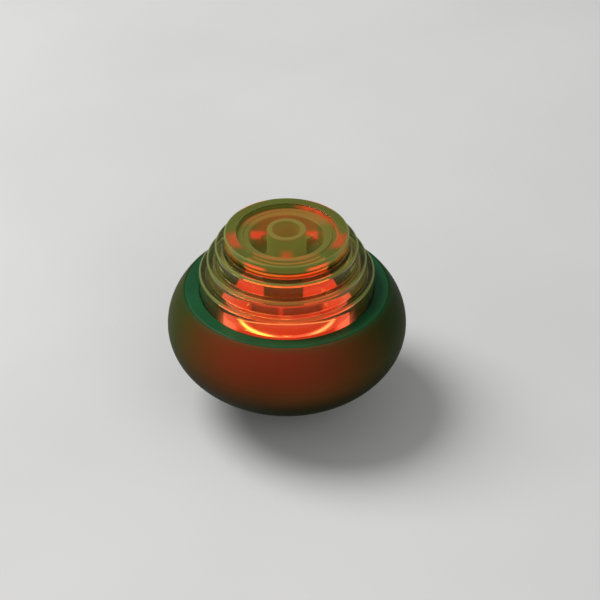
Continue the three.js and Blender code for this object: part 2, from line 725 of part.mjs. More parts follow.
place("circuit_board", circuitBoard(), BOARD_GREEN);
BOARD_SCREW_ANGLES.forEach((angle, i) => {
  // Turned over, because these screws go in from above.
  const mesh = place(`board_screw_${i + 1}`, screw(0, 1.5, 0.9, 0.5, 2.4), STEEL);
  mesh.rotation.x = Math.PI;
  mesh.position.set(BOARD_SCREW_CIRCLE, 0, 0).applyAxisAngle(
    new THREE.Vector3(0, 0, 1), THREE.MathUtils.degToRad(angle),
  );
  mesh.position.z = BOARD_TOP + FIT + 0.9;
});
Object.entries(LAMP_ANGLES).forEach(([name, angle]) => {
  place(name, lamp(angle), name === "led_red" ? RED_LENS : GREEN_LENS);
});
place("controller_chip", controllerChip(), EPOXY);
place("resistor_1", resistor(-2.2, 4.6), EPOXY);
place("resistor_2", resistor(-5.6, 4.6), EPOXY);
place("switch_trough", switchTrough(), WHITE_PLASTIC);
place("switch_spring", switchSpring(), STEEL);
place("switch_weight", switchWeight(), BRASS);
place("switch_contact", switchContact(), BRASS);

CELL_ANGLES.forEach((angle, i) => {
  const cell = turned([
    [0, CELL_Z],
    [CELL_RADIUS - 1.2, CELL_Z],
    [CELL_RADIUS - 1, CELL_Z + 0.5],
    [CELL_RADIUS, CELL_Z + 0.7],
    [CELL_RADIUS, CELL_Z + CELL_HEIGHT - 0.2],
    [CELL_RADIUS - 0.2, CELL_Z + CELL_HEIGHT],
    [0, CELL_Z + CELL_HEIGHT],
  ], MEDIUM_ROUND);
  place(`cell_${i + 1}`, onCircle(cell, CELL_CIRCLE, angle), STEEL);
});
place("contact_positive", positiveContact(), BRASS);
place("contact_negative", negativeContact(), BRASS);
place("contact_roof_bridge", roofBridge(), BRASS);
place("contact_door_bridge", doorBridge(), BRASS);

export default object;
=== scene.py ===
"""Light-up spinning top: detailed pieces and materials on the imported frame.

Lengths in the outlines are millimetres; objects are made in metres. The spin axis is Z, the tip
touches the floor at the origin, and the red lamp faces -Y, towards the camera.
"""
import json
import math
from functools import cached_property

import bmesh
import bpy
from mathutils import Matrix, Vector


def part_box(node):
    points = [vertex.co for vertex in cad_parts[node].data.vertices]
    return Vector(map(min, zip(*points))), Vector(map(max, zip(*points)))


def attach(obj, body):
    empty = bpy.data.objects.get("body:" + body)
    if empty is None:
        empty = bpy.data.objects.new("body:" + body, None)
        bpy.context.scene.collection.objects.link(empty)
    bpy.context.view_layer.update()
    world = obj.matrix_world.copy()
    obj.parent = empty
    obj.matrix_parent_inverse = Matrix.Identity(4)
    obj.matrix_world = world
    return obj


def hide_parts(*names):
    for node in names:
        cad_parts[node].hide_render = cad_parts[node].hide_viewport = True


MM = 0.001
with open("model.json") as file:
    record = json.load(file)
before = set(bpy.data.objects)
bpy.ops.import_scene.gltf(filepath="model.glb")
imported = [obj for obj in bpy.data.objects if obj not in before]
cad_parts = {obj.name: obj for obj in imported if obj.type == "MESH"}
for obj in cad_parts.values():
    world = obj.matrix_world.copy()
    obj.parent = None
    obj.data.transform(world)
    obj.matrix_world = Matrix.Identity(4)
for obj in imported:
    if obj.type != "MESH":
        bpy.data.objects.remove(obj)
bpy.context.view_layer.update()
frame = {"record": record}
record = frame["record"]
body_of = {n: body for body, names in record["behaviour"]["bodies"].items() for n in names}


def span(node, axis):
    """Lowest and highest coordinate of a CAD node along an axis, in millimetres."""
    low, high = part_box(node)
    return low[axis] / MM, high[axis] / MM


def radius_of(node):
    """Outer radius of a CAD node turned about the spin axis."""
    return span(node, 0)[1]


def spans(node):
    """Limits of a CAD node along x, y and z, in millimetres."""
    return [span(node, axis) for axis in range(3)]


# ---- Driving dimensions, in millimetres -----------------------------------------------------
SEAM = 0.12  # visible line between two mouldings
PARTING = 0.04  # hairline between the two shells, and round the collar
CAD_GAP = 0.3  # gap that the CAD leaves between solids that touch
FILLET = 0.2  # usual fillet of a moulded edge

# Body: two half ellipsoids, the upper one cut off flat at the collar.
BODY_RADIUS = radius_of("upper_shell")
BODY_MID_Z = span("lower_shell", 2)[1] + CAD_GAP / 2
UPPER_HALF_HEIGHT = 21.0
LOWER_HALF_HEIGHT = 19.1
WALL = 2.0

# Dome: (radius, top) of each tier from the top down.
FLANGE_FOOT, DOME_TOP = span("dome_lens", 2)
FLANGE_RADIUS = radius_of("dome_lens")
FLANGE_PLATE = 0.8  # thickness of the flange round the dome's foot
TIERS = [(15.3, DOME_TOP), (17.6, 46.5), (19.7, 42.7), (21.7, 39.0)]
EDGE_FILLET = 0.45  # rounding of each tier's upper edge
LENS_WALL = 1.6
RECESS_RADIUS = 12.3
RECESS_DEPTH = 1.2

# Socket for the launcher.
SOCKET_PLATE = 1.2
BEAD = 10.6, 11.3  # radii of the low bead round the ledge
BEAD_HEIGHT = 0.3
WELL_RADIUS = 9.2
WELL_DEPTH = 5.5
POST_RADIUS = 4.85
POST_TOP = span("launch_socket", 2)[1]
POST_HOLE = 3.45
POST_HOLE_DEPTH = 6.7
RIB_ANGLES = (45, 135, 225, 315)
RIB_HEIGHT = 1.5

# Deck.
COLLAR_FOOT, COLLAR_TOP = span("collar_ring", 2)
COLLAR_RADIUS = radius_of("collar_ring")
COLLAR_DIP = 0.3  # fall of the collar's dished face, from its edge to the dome
COLLAR_PLATE = 0.9
COLLAR_SKIRT = 1.2  # thickness of its outer wall
TRAY_TOP = FLANGE_FOOT - CAD_GAP
TRAY_RADIUS = radius_of("lamp_tray")
TRAY_SLOPE = 2.4  # how far the tray's wall leans in, from its rim to its floor
TRAY_WALL = 0.8
DISH_FLOOR = 25.2
RING_RADII = radius_of("light_ring") - 2.3, radius_of("light_ring")
RING_MIDDLE = sum(RING_RADII) / 2
RING_GROOVE = 0.5
HUB = [(8.6, 33.6), (4.6, 36.4)]  # (radius, top) of the two steps
HUB_WALL = 1
LEDGE_TOP = TRAY_TOP - TRAY_WALL - CAD_GAP
LEDGE_RADIUS = 18.4
LEDGE_PLATE = 1.4

# Lamps, board and cells.
LAMPS = {"led_red": -90, "led_green_right": 30, "led_green_left": 150}
LAMP_CIRCLE = RING_MIDDLE
LAMP_RADIUS = 1.5
LAMP_HEIGHT = 5.3
LEADS = (-1.27, 1.27)  # a lamp's two leads, sideways from its middle
BOARD_FOOT, BOARD_TOP = span("circuit_board", 2)
CELL_RADIUS = 5.8
CELL_ANGLES = (90, 210, 330)
CELL_CIRCLE = 7.3
CELL_POCKET = 6.15
BLOCK_FOOT = 8.6  # the block that holds the cells
BLOCK_TOP = 15.8
FLYWHEEL_BORE = 23.9
SHEET = 0.3  # thickness of the contact strips

# Screws and tip.
SCREW_CIRCLES = {"door": 12.3, "body": 20.8, "board": 13.0}
SCREW_ANGLES = {"door": (30, 150, 270), "body": CELL_ANGLES, "board": CELL_ANGLES}
SCREW_SHOULDER = 13.5  # top of the wells for the body screws' heads
BOSS_TOP = 17  # where the lower shell's screw bosses meet the upper shell's
BOSSES = 3.4, 2.5  # radii of the body screws' bosses in the lower and the upper shell
STANDOFF = 1.9  # radius of the posts under the circuit board
HEAD_WELL = 2.7
SHANK_HOLE = 1.1
PILOT = 0.75  # radius of the pilot holes for the door and body screws
BOARD_PILOT = 0.6
DOOR_RADIUS = radius_of("battery_door")
DOOR_TOP = span("battery_door", 2)[1]
CUP_RADIUS = 4.0
CUP_FLANGE = 5.2
CUP_FOOT = 1.2
BALL_RADIUS = radius_of("tip_ball")
BALL_FLAT = 0.8
BALL_MID_Z = math.sqrt(BALL_RADIUS**2 - BALL_FLAT**2)

FINE = 160  # segments round a large turned piece
COARSE = 48  # segments round a small one


# ---- Mesh tools -----------------------------------------------------------------------------
def add_object(name, data):
    """An object in the scene that shows a mesh, camera or light."""
    obj = bpy.data.objects.new(name, data)
    bpy.context.scene.collection.objects.link(obj)
    return obj


def mesh_object(name, bm):
    """An object in the scene from a bmesh, with its normals outwards."""
    bmesh.ops.recalc_face_normals(bm, faces=bm.faces)
    mesh = bpy.data.meshes.new(name)
    bm.to_mesh(mesh)
    bm.free()
    return add_object(name, mesh)


def smooth(obj, limit=38):
    """Smooth shading that keeps flats flat and edges sharper than limit degrees crisp."""
    bm = bmesh.new()
    bm.from_mesh(obj.data)
    bmesh.ops.remove_doubles(bm, verts=bm.verts, dist=1e-6)
    bmesh.ops.recalc_face_normals(bm, faces=bm.faces)
    for face in bm.faces:
        face.smooth = True
    for edge in bm.edges:
        edge.smooth = edge.calc_face_angle(0) < math.radians(limit)
    bm.to_mesh(obj.data)
    bm.free()
    modifier = obj.modifiers.new("flats", "WEIGHTED_NORMAL")
    modifier.keep_sharp = True


def rounded(corners, steps):
    """Outline points from (r, z) or (r, z, fillet) corners, each fillet drawn as an arc."""
    points = []
    for i, corner in enumerate(corners):
        here = Vector(corner[:2])
        fillet = corner[2] if len(corner) > 2 else 0
        if not fillet:
            points.append(here)
            continue
        back = (Vector(corners[i - 1][:2]) - here).normalized()
        ahead = (Vector(corners[(i + 1) % len(corners)][:2]) - here).normalized()
        half = back.angle(ahead) / 2
        centre = here + (back + ahead).normalized() * fillet / math.sin(half)
        arm = here + back * fillet / math.tan(half) - centre
        end = here + ahead * fillet / math.tan(half) - centre
        sweep = math.atan2(arm.x * end.y - arm.y * end.x, arm.dot(end))
        for k in range(steps + 1):
            points.append(centre + Matrix.Rotation(sweep * k / steps, 2) @ arm)
    return points


def circle(count):
    """Angles in radians that share out a full turn."""
    return [2 * math.pi * k / count for k in range(count)]


def lathe(name, corners, segments=FINE, steps=4):
    """A turned solid about Z from a closed outline of corners."""
    bm = bmesh.new()
    rings = []
    for r, z in rounded(corners, steps):
        if r < 1e-4:
            rings.append([bm.verts.new((0, 0, z * MM))])
            continue
        rings.append([bm.verts.new((r * math.cos(t) * MM, r * math.sin(t) * MM, z * MM))
                      for t in circle(segments)])
    for i, ring in enumerate(rings):
        following = rings[(i + 1) % len(rings)]
        if len(ring) == 1 and len(following) == 1:
            continue
        for k in range(segments):
            after = (k + 1) % segments
            corners_of_face = [ring[k % len(ring)], ring[after % len(ring)],
                               following[after % len(following)], following[k % len(following)]]
            bm.faces.new(list(dict.fromkeys(corners_of_face)))
    return mesh_object(name, bm)


def rod(radius, foot, top, segments=COARSE, fillet=0.0):
    """A plain round cutter or boss on the spin axis."""
    corners = [(0, foot), (radius, foot, fillet), (radius, top, fillet), (0, top)]
    return lathe("rod", corners, segments, 3)


def box(x, y, z, bevel=0.0):
    """A box between pairs of limits in millimetres, with its edges rounded by bevel."""
    bm = bmesh.new()
    bmesh.ops.create_cube(bm, size=1)
    limits = [Vector(pair) * MM for pair in (x, y, z)]
    for vert in bm.verts:
        vert.co = Vector(low_high[0] + (c + 0.5) * (low_high[1] - low_high[0])
                         for c, low_high in zip(vert.co, limits))
    if bevel:
        bmesh.ops.bevel(bm, geom=bm.edges[:], offset=bevel * MM, segments=3, affect="EDGES",
                        profile=0.5)
    return mesh_object("box", bm)


def tube(name, path, radius, sides=10):
    """A round wire along a list of points in millimetres, closed at both ends."""
    bm = bmesh.new()
    rings = []
    side = None
    for i, point in enumerate(path):
        along = (path[min(i + 1, len(path) - 1)] - path[max(i - 1, 0)]).normalized()
        side = (side - along * side.dot(along)).normalized() if side else along.orthogonal()
        side.normalize()
        across = along.cross(side)
        rings.append([bm.verts.new((point + (side * math.cos(t) + across * math.sin(t)) * radius)
                                   * MM) for t in circle(sides)])
    for ring, following in zip(rings, rings[1:]):
        for k in range(sides):
            after = (k + 1) % sides
            bm.faces.new((ring[k], ring[after], following[after], following[k]))
    bm.faces.new(rings[0])
    bm.faces.new(rings[-1])
    return mesh_object(name, bm)


def move(obj, x=0.0, y=0.0, z=0.0, turn=0.0, flip=False):
    """Moves a mesh by millimetres, then turns it about the spin axis by degrees."""
    matrix = Matrix.Rotation(math.radians(turn), 4, "Z") @ Matrix.Translation(
        Vector((x, y, z)) * MM)
    if flip:
        matrix = matrix @ Matrix.Rotation(math.pi, 4, "X")
    obj.data.transform(matrix)
    return obj


def combine(base, others, operation="UNION"):
    """Joins others to base, or cuts them from it, with exact booleans."""
    for other in others:
        modifier = base.modifiers.new("boolean", "BOOLEAN")
        modifier.operation = operation
        modifier.solver = "EXACT"
        modifier.object = other
    evaluated = base.evaluated_get(bpy.context.evaluated_depsgraph_get())
    mesh = bpy.data.meshes.new_from_object(evaluated)
    base.modifiers.clear()
    base.data = mesh
    for other in others:
        bpy.data.objects.remove(other, do_unlink=True)
    return base


def around(make, angles, distance=0.0):
    """Copies from make(), each moved out by distance and turned to its angle."""
    return [move(make(), x=distance, turn=angle) for angle in angles]


def at_screws(kind, *shape):
    """Rods of one shape, as rod() takes it, at all screws of a kind."""
    return around(lambda: rod(*shape), SCREW_ANGLES[kind], SCREW_CIRCLES[kind])


def at_leads(make):
    """Copies from make() at every lead of every lamp."""
    return [move(make(), x=LAMP_CIRCLE, y=side, turn=angle)
            for side in LEADS for angle in LAMPS.values()]


def coat(obj, *looks):
    """Gives obj the materials of looks that it doesn't have yet."""
    for look in looks:
        if look.material.name not in obj.data.materials:
            obj.data.materials.append(look.material)


def paint(obj, look, test):
    """Gives one of obj's looks to the faces whose radius, height and normal pass test."""
    index = obj.data.materials.find(look.material.name)
    for face in obj.data.polygons:
        x, y, z = face.center / MM
        if test(math.hypot(x, y), z, face.normal):
            face.material_index = index


def dress(obj, node, *looks):
    """Shows obj in place of a CAD node, with its looks and body, named after the node."""
    obj.name = f"look_{node}"
    coat(obj, *looks)
    smooth(obj)
    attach(obj, body_of[node])
    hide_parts(node)


def arc(middle, radius, start, end, steps):
    """Outline points of an arc about middle between two angles in radians."""
    turns = [start + (end - start) * k / steps for k in range(steps + 1)]
    return [(middle[0] + radius * math.cos(t), middle[1] + radius * math.sin(t)) for t in turns]


def body_curve(z0, z1, inset, steps):
    """Points of the body's surface, set in by inset, from height z0 to z1."""
    points = []
    for i in range(steps + 1):
        z = z0 + (z1 - z0) * i / steps
        half_height = UPPER_HALF_HEIGHT if z > BODY_MID_Z else LOWER_HALF_HEIGHT
        share = (z - BODY_MID_Z) / (half_height - inset)
        points.append(((BODY_RADIUS - inset) * math.sqrt(1 - share * share), z))
    return points


def underside_z(radius):
    """Height of the body's underside at a radius."""
    share = radius / BODY_RADIUS
    return BODY_MID_Z - LOWER_HALF_HEIGHT * math.sqrt(1 - share * share)


def underside(r0, r1, steps):
    """Points along the underside from one radius to another."""
    radii = [r0 + (r1 - r0) * i / steps for i in range(steps + 1)]
    return [(r, underside_z(r)) for r in radii]


# ---- Material tools -------------------------------------------------------------------------
class Look:
    """A material being built round one Principled shader, patterned in object space.

    Steps and bands along the coordinates x, y, z, away (distance from the plane of the spin axis
    and the red lamp) and radius (distance from the spin axis) have their limits in millimetres.
    """

    def __init__(self, name, colour, roughness, **sockets):
        self.material = bpy.data.materials.new(name)
        self.material.use_nodes = True
        self.tree = self.material.node_tree
        self.shader = self.tree.nodes["Principled BSDF"]
        coordinates = self.tree.nodes.new("ShaderNodeTexCoord").outputs
        self.place = coordinates["Object"]
        self.x, self.y, self.z = self.split(self.place)
        self.normal = coordinates["Normal"]
        self.shader.inputs["Base Color"].default_value = (*colour, 1)
        self.shader.inputs["Roughness"].default_value = roughness
        for socket, value in sockets.items():
            self.shader.inputs[socket.replace("_", " ")].default_value = value

    def node(self, kind, inputs=(), **settings):
        """A node with its settings, and with its inputs set to values or linked to sockets."""
        made = self.tree.nodes.new(kind)
        for setting, value in settings.items():
            setattr(made, setting, value)
        for socket, value in dict(inputs).items():
            if isinstance(value, bpy.types.NodeSocket):
                self.tree.links.new(value, made.inputs[socket])
            else:
                made.inputs[socket].default_value = value
        return made

    def set(self, socket, value):
        self.tree.links.new(value, self.shader.inputs[socket])

    def split(self, vector):
        return self.node("ShaderNodeSeparateXYZ", {0: vector}).outputs

    def math(self, operation, *values):
        return self.node("ShaderNodeMath", enumerate(values), operation=operation).outputs[0]

    def square(self, value):
        return self.math("MULTIPLY", value, value)

    @cached_property
    def away(self):
        return self.math("ABSOLUTE", self.x)

    @cached_property
    def radius(self):
        return self.math("SQRT", self.math("ADD", self.square(self.x), self.square(self.y)))

    def sum_of(self, value, weight, more):
        """The value times its weight, plus more."""
        return self.math("MULTIPLY_ADD", value, weight, more)

    def product(self, first, *others):
        for other in others:
            first = self.math("MULTIPLY", first, other)
        return first

    def largest(self, first, *others):
        for other in others:
            first = self.math("MAXIMUM", first, other)
        return first

    def fade(self, value, start, end, low=0.0, high=1.0, curve="SMOOTHSTEP"):
        """A step from low to high as value goes from start to end, smooth unless curve says."""
        return self.node("ShaderNodeMapRange", {0: value, 1: start, 2: end, 3: low, 4: high},
                         interpolation_type=curve).outputs[0]

    def step(self, value, start, end, *heights, curve="SMOOTHSTEP"):
        """A fade whose start and end are in millimetres."""
        return self.fade(value, start * MM, end * MM, *heights, curve=curve)

    def band(self, value, low, high, soft):
        """1 where value lies between low and high millimetres, 0 outside, with soft edges."""
        return self.product(self.step(value, low - soft, low + soft),
                            self.step(value, high + soft, high - soft))

    def where(self, *masks, **limits):
        """The product of masks, and of a step (start, end) or band (low, high, soft) for each
        coordinate named."""
        for coordinate, numbers in limits.items():
            make = self.step if len(numbers) == 2 else self.band
            masks += (make(getattr(self, coordinate), *numbers),)
        return self.product(*masks)

    def noise(self, scale, detail=3.0, stretch=(1, 1, 1)):
        """Noise from 0 to 1 with scale features a metre, drawn out along the axes of stretch."""
        place = self.node("ShaderNodeMapping", {"Vector": self.place, "Scale": stretch})
        return self.node("ShaderNodeTexNoise", {"Vector": place.outputs[0], "Scale": scale,
                                                "Detail": detail}).outputs["Fac"]

    def ramp(self, factor, stops, curve="EASE"):
        """Colours or greys along a factor: stops of (position, colour)."""
        made = self.node("ShaderNodeValToRGB", {"Fac": factor})
        elements = made.color_ramp.elements
        made.color_ramp.interpolation = curve
        while len(elements) < len(stops):
            elements.new(0.5)
        for element, (position, colour) in zip(elements, stops):
            element.position = position
            element.color = (*colour, 1)
        return made.outputs["Color"]

    def mottle(self, scale, detail, first, second, low=0.3, high=0.7):
        """Two colours mixed by noise, which is plain first up to low and plain second from high."""
        return self.ramp(self.noise(scale, detail), [(low, first), (high, second)])

    def mix(self, factor, first, second):
        """A colour that goes from first to second, either of them linked or plain, with factor."""
        first, second = (colour if isinstance(colour, bpy.types.NodeSocket) else (*colour, 1)
                         for colour in (first, second))
        return self.node("ShaderNodeMix", {0: factor, 6: first, 7: second},
                         data_type="RGBA").outputs[2]

    def bump(self, height, strength, distance):
        """Relief of distance millimetres, added to any relief set before."""
        inputs = {"Height": height, "Strength": strength, "Distance": distance * MM}
        normal = self.shader.inputs["Normal"]
        if normal.is_linked:
            inputs["Normal"] = normal.links[0].from_socket
        self.set("Normal", self.node("ShaderNodeBump", inputs).outputs[0])

    def gloss(self, scale, detail, *limits):
        """Roughness that follows noise: limits are fade()'s start, end, low and high."""
        self.set("Roughness", self.fade(self.noise(scale, detail), *limits))

    def glow(self, colour, strength):
        self.set("Emission Color", colour)
        self.set("Emission Strength", strength)

    def moulded(self, grain=0.35, wear=0.12):
        """The fine orange-peel skin, faint scuffs and uneven gloss of a moulded plastic."""
        base = self.shader.inputs["Roughness"].default_value
        self.bump(self.noise(900, 2), grain, 0.03)
        self.bump(self.noise(260, 3, (1, 1, 5)), 0.15, 0.05)
        scuffs = self.noise(420, 6, (1, 1, 9))
        shade = self.product(self.fade(scuffs, 0.52, 0.72), self.noise(70, 4))
        self.set("Roughness", self.fade(shade, 0, 0.7, base, min(base + wear * 2, 1)))


def opaque_plastic(name, colour, roughness, variation=0.18, grain=0.35, **sockets):
    """Coloured moulded plastic with faint mottling."""
    look = Look(name, colour, roughness, **sockets)
    dark = tuple(c * (1 - variation) for c in colour)
    light = tuple(min(1, c * (1 + variation)) for c in colour)
    look.set("Base Color", look.mottle(95, 5, dark, light))
    look.moulded(grain)
    return look


def metal(name, colour, roughness, stretch=(1, 1, 30), grain=0.2, tarnish=0.12):
    """Metal with fine tool marks and slight tarnish."""
    look = Look(name, colour, roughness, Metallic=1.0)
    marks = look.noise(500, 4, stretch)
    dull = tuple(c * (1 - tarnish * 2) for c in colour)
    look.set("Base Color", look.mottle(180, 5, dull, colour, 0.35, 0.62))
    look.set("Roughness", look.fade(marks, 0.3, 0.8, roughness * 0.75, roughness * 1.5))
    look.bump(marks, grain, 0.02)
    return look


# ---- Materials ------------------------------------------------------------------------------
RED_GLOW = (0.8, 0.03, 0.02)
PINK_GLOW = (0.86, 0.12, 0.13)
MAROON_GLOW = (0.3, 0.004, 0.012)
YELLOW_GLOW = (1.0, 0.62, 0.17)
AMBER_GLOW = (0.6, 0.16, 0.04)
LIME_GLOW = (0.12, 0.13, 0.02)
EDGE_GLOW = (0.62, 0.055, 0.016)
DOME_TINT = (0.5, 0.52, 0.17)
RIM_TINT = (0.09, 0.105, 0.02)
EDGE_TINT = (0.13, 0.16, 0.04)
SHEEN_TINT = (0.3, 0.36, 0.12, 1)
COLLAR_GREEN = (0.006, 0.07, 0.022)
CLEAR = 0.96  # share of light that clear plastic lets through


def dome_plastic(name, tint=DOME_TINT, clear=CLEAR, **sockets):
    """Clear lime plastic, faintly uneven, with soft polishing marks."""
    look = Look(name, tint, 0.05, Transmission_Weight=clear, IOR=1.45, Specular_Tint=SHEEN_TINT,
                **sockets)
    look.bump(look.noise(330, 2), 0.05, 0.03)
    look.bump(look.noise(700, 5, (1, 1, 14)), 0.03, 0.02)
    look.gloss(160, 5, 0.45, 0.75, 0.035, 0.16)
    look.set("Base Color", look.mottle(60, 4, tuple(c * 0.85 for c in tint), tint))
    return look


def dome_edge():
    """The rounded edge of each tier, which pipes light round the dome and glows lime."""
    look = dome_plastic("dome_edge", EDGE_TINT, 0.25, Specular_IOR_Level=0.15)
    # The red lamp's light leaves the edges in red at the front, most of all at the base, and in
    # pink streaks behind the rim.
    higher = look.step(look.z, TIERS[3][1], TIERS[1][1], curve="LINEAR")
    red = look.where(look.fade(look.noise(160, 3), 0.3, 0.7, 0.7, 1.0),
                     look.math("SUBTRACT", 1.0, higher), y=(-8, -15), away=(17, 14.5))
    rear = look.where(y=(3, 7), away=(4.5, 11.5, 1.5), z=(48.5, 49.2))
    look.set("Base Color", look.mix(red, EDGE_TINT, (0.08, 0.02, 0.006)))
    look.glow(look.mix(rear, look.mix(red, LIME_GLOW, EDGE_GLOW), PINK_GLOW),
              look.product(look.fade(look.largest(rear, red), 0, 1, 0.36, 0.85),
                           look.step(look.z, 43, 49, 0.78, 1.0)))
    return look


def dome_rim():
    """The top tier's outer wall, rim and recess, hazier than the rest and lit in patches."""
    look = dome_plastic("dome_rim", RIM_TINT, Specular_IOR_Level=0.1)
    # Only the foot of the wall, where the lamp's strip shows, stays clear.
    clear_foot = TIERS[1][1] + 1.3, TIERS[1][1] + 2
    look.set("Transmission Weight", look.step(look.z, *clear_foot, CLEAR, 0.3))
    wall = look.where(radius=(15, 15.2))
    front = look.where(wall, away=(5.2, 10, 1.1), z=(48.2, 49.1, 0.35), y=(-5, -6))
    side = look.where(look.fade(wall, 1, 0), away=(10, 15, 0.8), y=(-7, -0.8, 1.5))
    rear = look.where(look.fade(look.noise(220, 2), 0.38, 0.6, 0.35, 1.0), y=(-3, 1),
                      radius=(12.9, 12.4), x=(2, 13, 1.5))
    # The lit patches are painted into the base colour too, in red-brown.
    look.set("Base Color", look.mix(look.math("ADD", rear, side), (0.09, 0.1, 0.016),
                                    (0.09, 0.045, 0.01)))
    lit = look.math("ADD", front, look.sum_of(side, 0.6, rear))
    # Painted glow over the whole rim above its clear foot, a faint olive where no patch is lit.
    haze_glow = look.mottle(120, 4, (0.06, 0.075, 0.011), (0.085, 0.075, 0.013))
    strength = look.sum_of(lit, 0.4, look.fade(wall, 0, 1, 0.38, 0.85))
    look.glow(look.mix(lit, haze_glow, (0.75, 0.06, 0.02)), look.where(strength, z=clear_foot))
    return look


def lit_wall():
    """The dome's inner wall, which carries the red lamp's glow at the front, tier by tier."""
    look = dome_plastic("dome_glow", (0.66, 0.64, 0.34))
    x_squared = look.square(look.x)
    _, second, third, base = (top - LENS_WALL for _, top in TIERS)  # undersides of the treads
    tread = look.fade(look.math("ABSOLUTE", look.split(look.normal)[2]), 0.5, 0.9)

    # Half the glow's width at heights from the base to the top, in millimetres.
    widths = [(30.5, 15), (base + 0.01, 14.8), (base + 0.1, 15.4), (third, 14.2),
              (third + 0.1, 12.1), (second, 10.9), (second + 0.1, 9.7), (TIERS[1][1], 9.5)]
    widest = 20
    low, high = widths[0][0], widths[-1][0]
    stops = [((height - low) / (high - low), (width / widest,) * 3) for height, width in widths]
    along = look.step(look.z, low, high, curve="LINEAR")
    width = look.product(look.ramp(along, stops, "LINEAR"), widest * MM)
    # On the walls of the two lower tiers the glow's top bows down towards its ends.
    bowed = look.sum_of(x_squared, 5.5, look.z)
    in_third = look.where(look.step(bowed, third + 0.2, third), z=(base + 0.02, base + 0.06))
    in_base = look.step(bowed, base + 0.2, base)
    above = look.where(z=(third, third + 0.06))
    window = look.where(look.step(look.math("SUBTRACT", width, look.away), 0, 0.35),
                        look.largest(tread, in_third, in_base, above), y=(0, -3))

    # Painted shade: the hub in the middle of the tray is painted as a dark patch in the second tier's
    # glow and as a maroon one in the third.
    hub_shade = look.where(x=(-5.2, 3.9, 0.35), z=(third, 45.3, 0.2))
    hub_foot_shade = look.largest(look.where(x=(-8.2, -1.6, 0.8)), look.where(x=(-0.9, 8.3, 0.8)))
    hub_foot_shade = look.where(hub_foot_shade, z=(37.7, 40.6, 0.5))
    dimmed = look.math("SUBTRACT", look.fade(hub_shade, 0, 1, 1, 0.12), look.product(hub_foot_shade, 0.5))
    # A thin painted highlight above the light ring, bowed a little, as the base tier shows it: the
    # lamp's image in the wall.
    line = look.band(look.sum_of(x_squared, 8.5, look.z), 37.05, 37.35, 0.12)
    line = look.where(line, away=(11.8, 11.2))
    # Outside the window a faint brown glow is painted in the third tier.
    haze_glow = look.where(look.fade(window, 1, 0), z=(38, 41.2, 0.3), y=(6, 0))

    glow = look.ramp(look.noise(240, 4, (0.35, 0.35, 2.2)),
                     [(0.25, (0.66, 0.014, 0.012)), (0.5, RED_GLOW), (0.75, (0.85, 0.06, 0.05))])
    glow = look.mix(look.where(away=(11, 14)), glow, (0.86, 0.1, 0.08))
    glow = look.mix(line, glow, (1.0, 0.3, 0.12))
    glow = look.mix(window, (0.05, 0.03, 0.008), glow)
    # The base is dimmer in the middle, and the treads' undersides dimmer than the walls.
    middle = look.step(look.away, 10.5, 12.5, 0.72, 1.35)
    tiers = look.step(look.z, base - 0.05, base + 0.05, middle, 1.35, curve="LINEAR")
    tiers = look.product(tiers, look.math("SUBTRACT", 1.0, tread))
    tiers = look.sum_of(tread, look.step(look.z, 38, 41, 0.9, 0.14), tiers)
    strength = look.sum_of(line, 0.9, look.product(dimmed, tiers))
    look.glow(look.mix(hub_foot_shade, glow, MAROON_GLOW),
              look.math("ADD", look.product(window, strength), look.product(haze_glow, 1.6)))
    return look


def lit_ceiling():
    """Underside of the rim, with the lamps' light painted on as a red glow: a strip in front and a
    patch at each side, over the lamps.
    """
    look = dome_plastic("dome_ceiling")
    strip = look.where(away=(9.5, 9), radius=(12.2, 12.6), y=(-7, -8))
    side = look.where(away=(10.4, 14, 0.5), y=(-4, 3, 1.5))
    look.glow(look.mottle(140, 3, AMBER_GLOW, RED_GLOW, 0.35, 0.75), look.sum_of(strip, 3.7, side))
    return look


def tray_plastic():
    """Dark tray, lit red round the front lamp, with its hub dimmer."""
    look = Look("tray_green", (0.12, 0.1, 0.03), 0.3, Specular_IOR_Level=0.2)
    look.bump(look.noise(300, 3), 0.1, 0.05)
    look.gloss(200, 4, 0.4, 0.7, 0.25, 0.42)
    look.set("Base Color", look.mottle(90, 4, (0.12, 0.1, 0.03), (0.16, 0.13, 0.04)))
    hub_shade = look.where(radius=(9.2, 8.8), z=(28.5, 29.5))
    side = look.where(away=(11, 12.5))
    look.glow(look.mix(hub_shade, look.mix(side, RED_GLOW, PINK_GLOW), MAROON_GLOW),
              look.where(look.fade(side, 0, 1, 0.5, 1.3, "LINEAR"), look.fade(hub_shade, 0, 1, 1, 0.5),
                         away=(17, 14), y=(-1, -6)))
    return look


def ring_plastic():
    """Clear light ring, with the front lamp's light along its crown."""
    look = Look("ring_clear", (0.75, 0.62, 0.5), 0.12, Transmission_Weight=0.8, IOR=1.49)
    look.bump(look.noise(300, 3), 0.06, 0.03)
    look.gloss(200, 5, 0.4, 0.75, 0.1, 0.24)
    off_crown = look.math("SUBTRACT", look.radius, (RING_MIDDLE + 0.4) * MM)
    crown = look.step(look.math("ABSOLUTE", off_crown), 0.6, 0.15)
    left = look.where(x=(-1, -5))
    right = look.where(x=(4, 8))
    line = look.mix(left, look.mix(right, (1.0, 0.22, 0.25), (1.0, 0.45, 0.28)), YELLOW_GLOW)
    peak = look.sum_of(left, 2.2, look.sum_of(right, 1.3, 0.35))
    look.glow(look.mix(crown, PINK_GLOW, line),
              look.where(look.sum_of(crown, peak, 0.35), y=(-4, -7)))
    return look


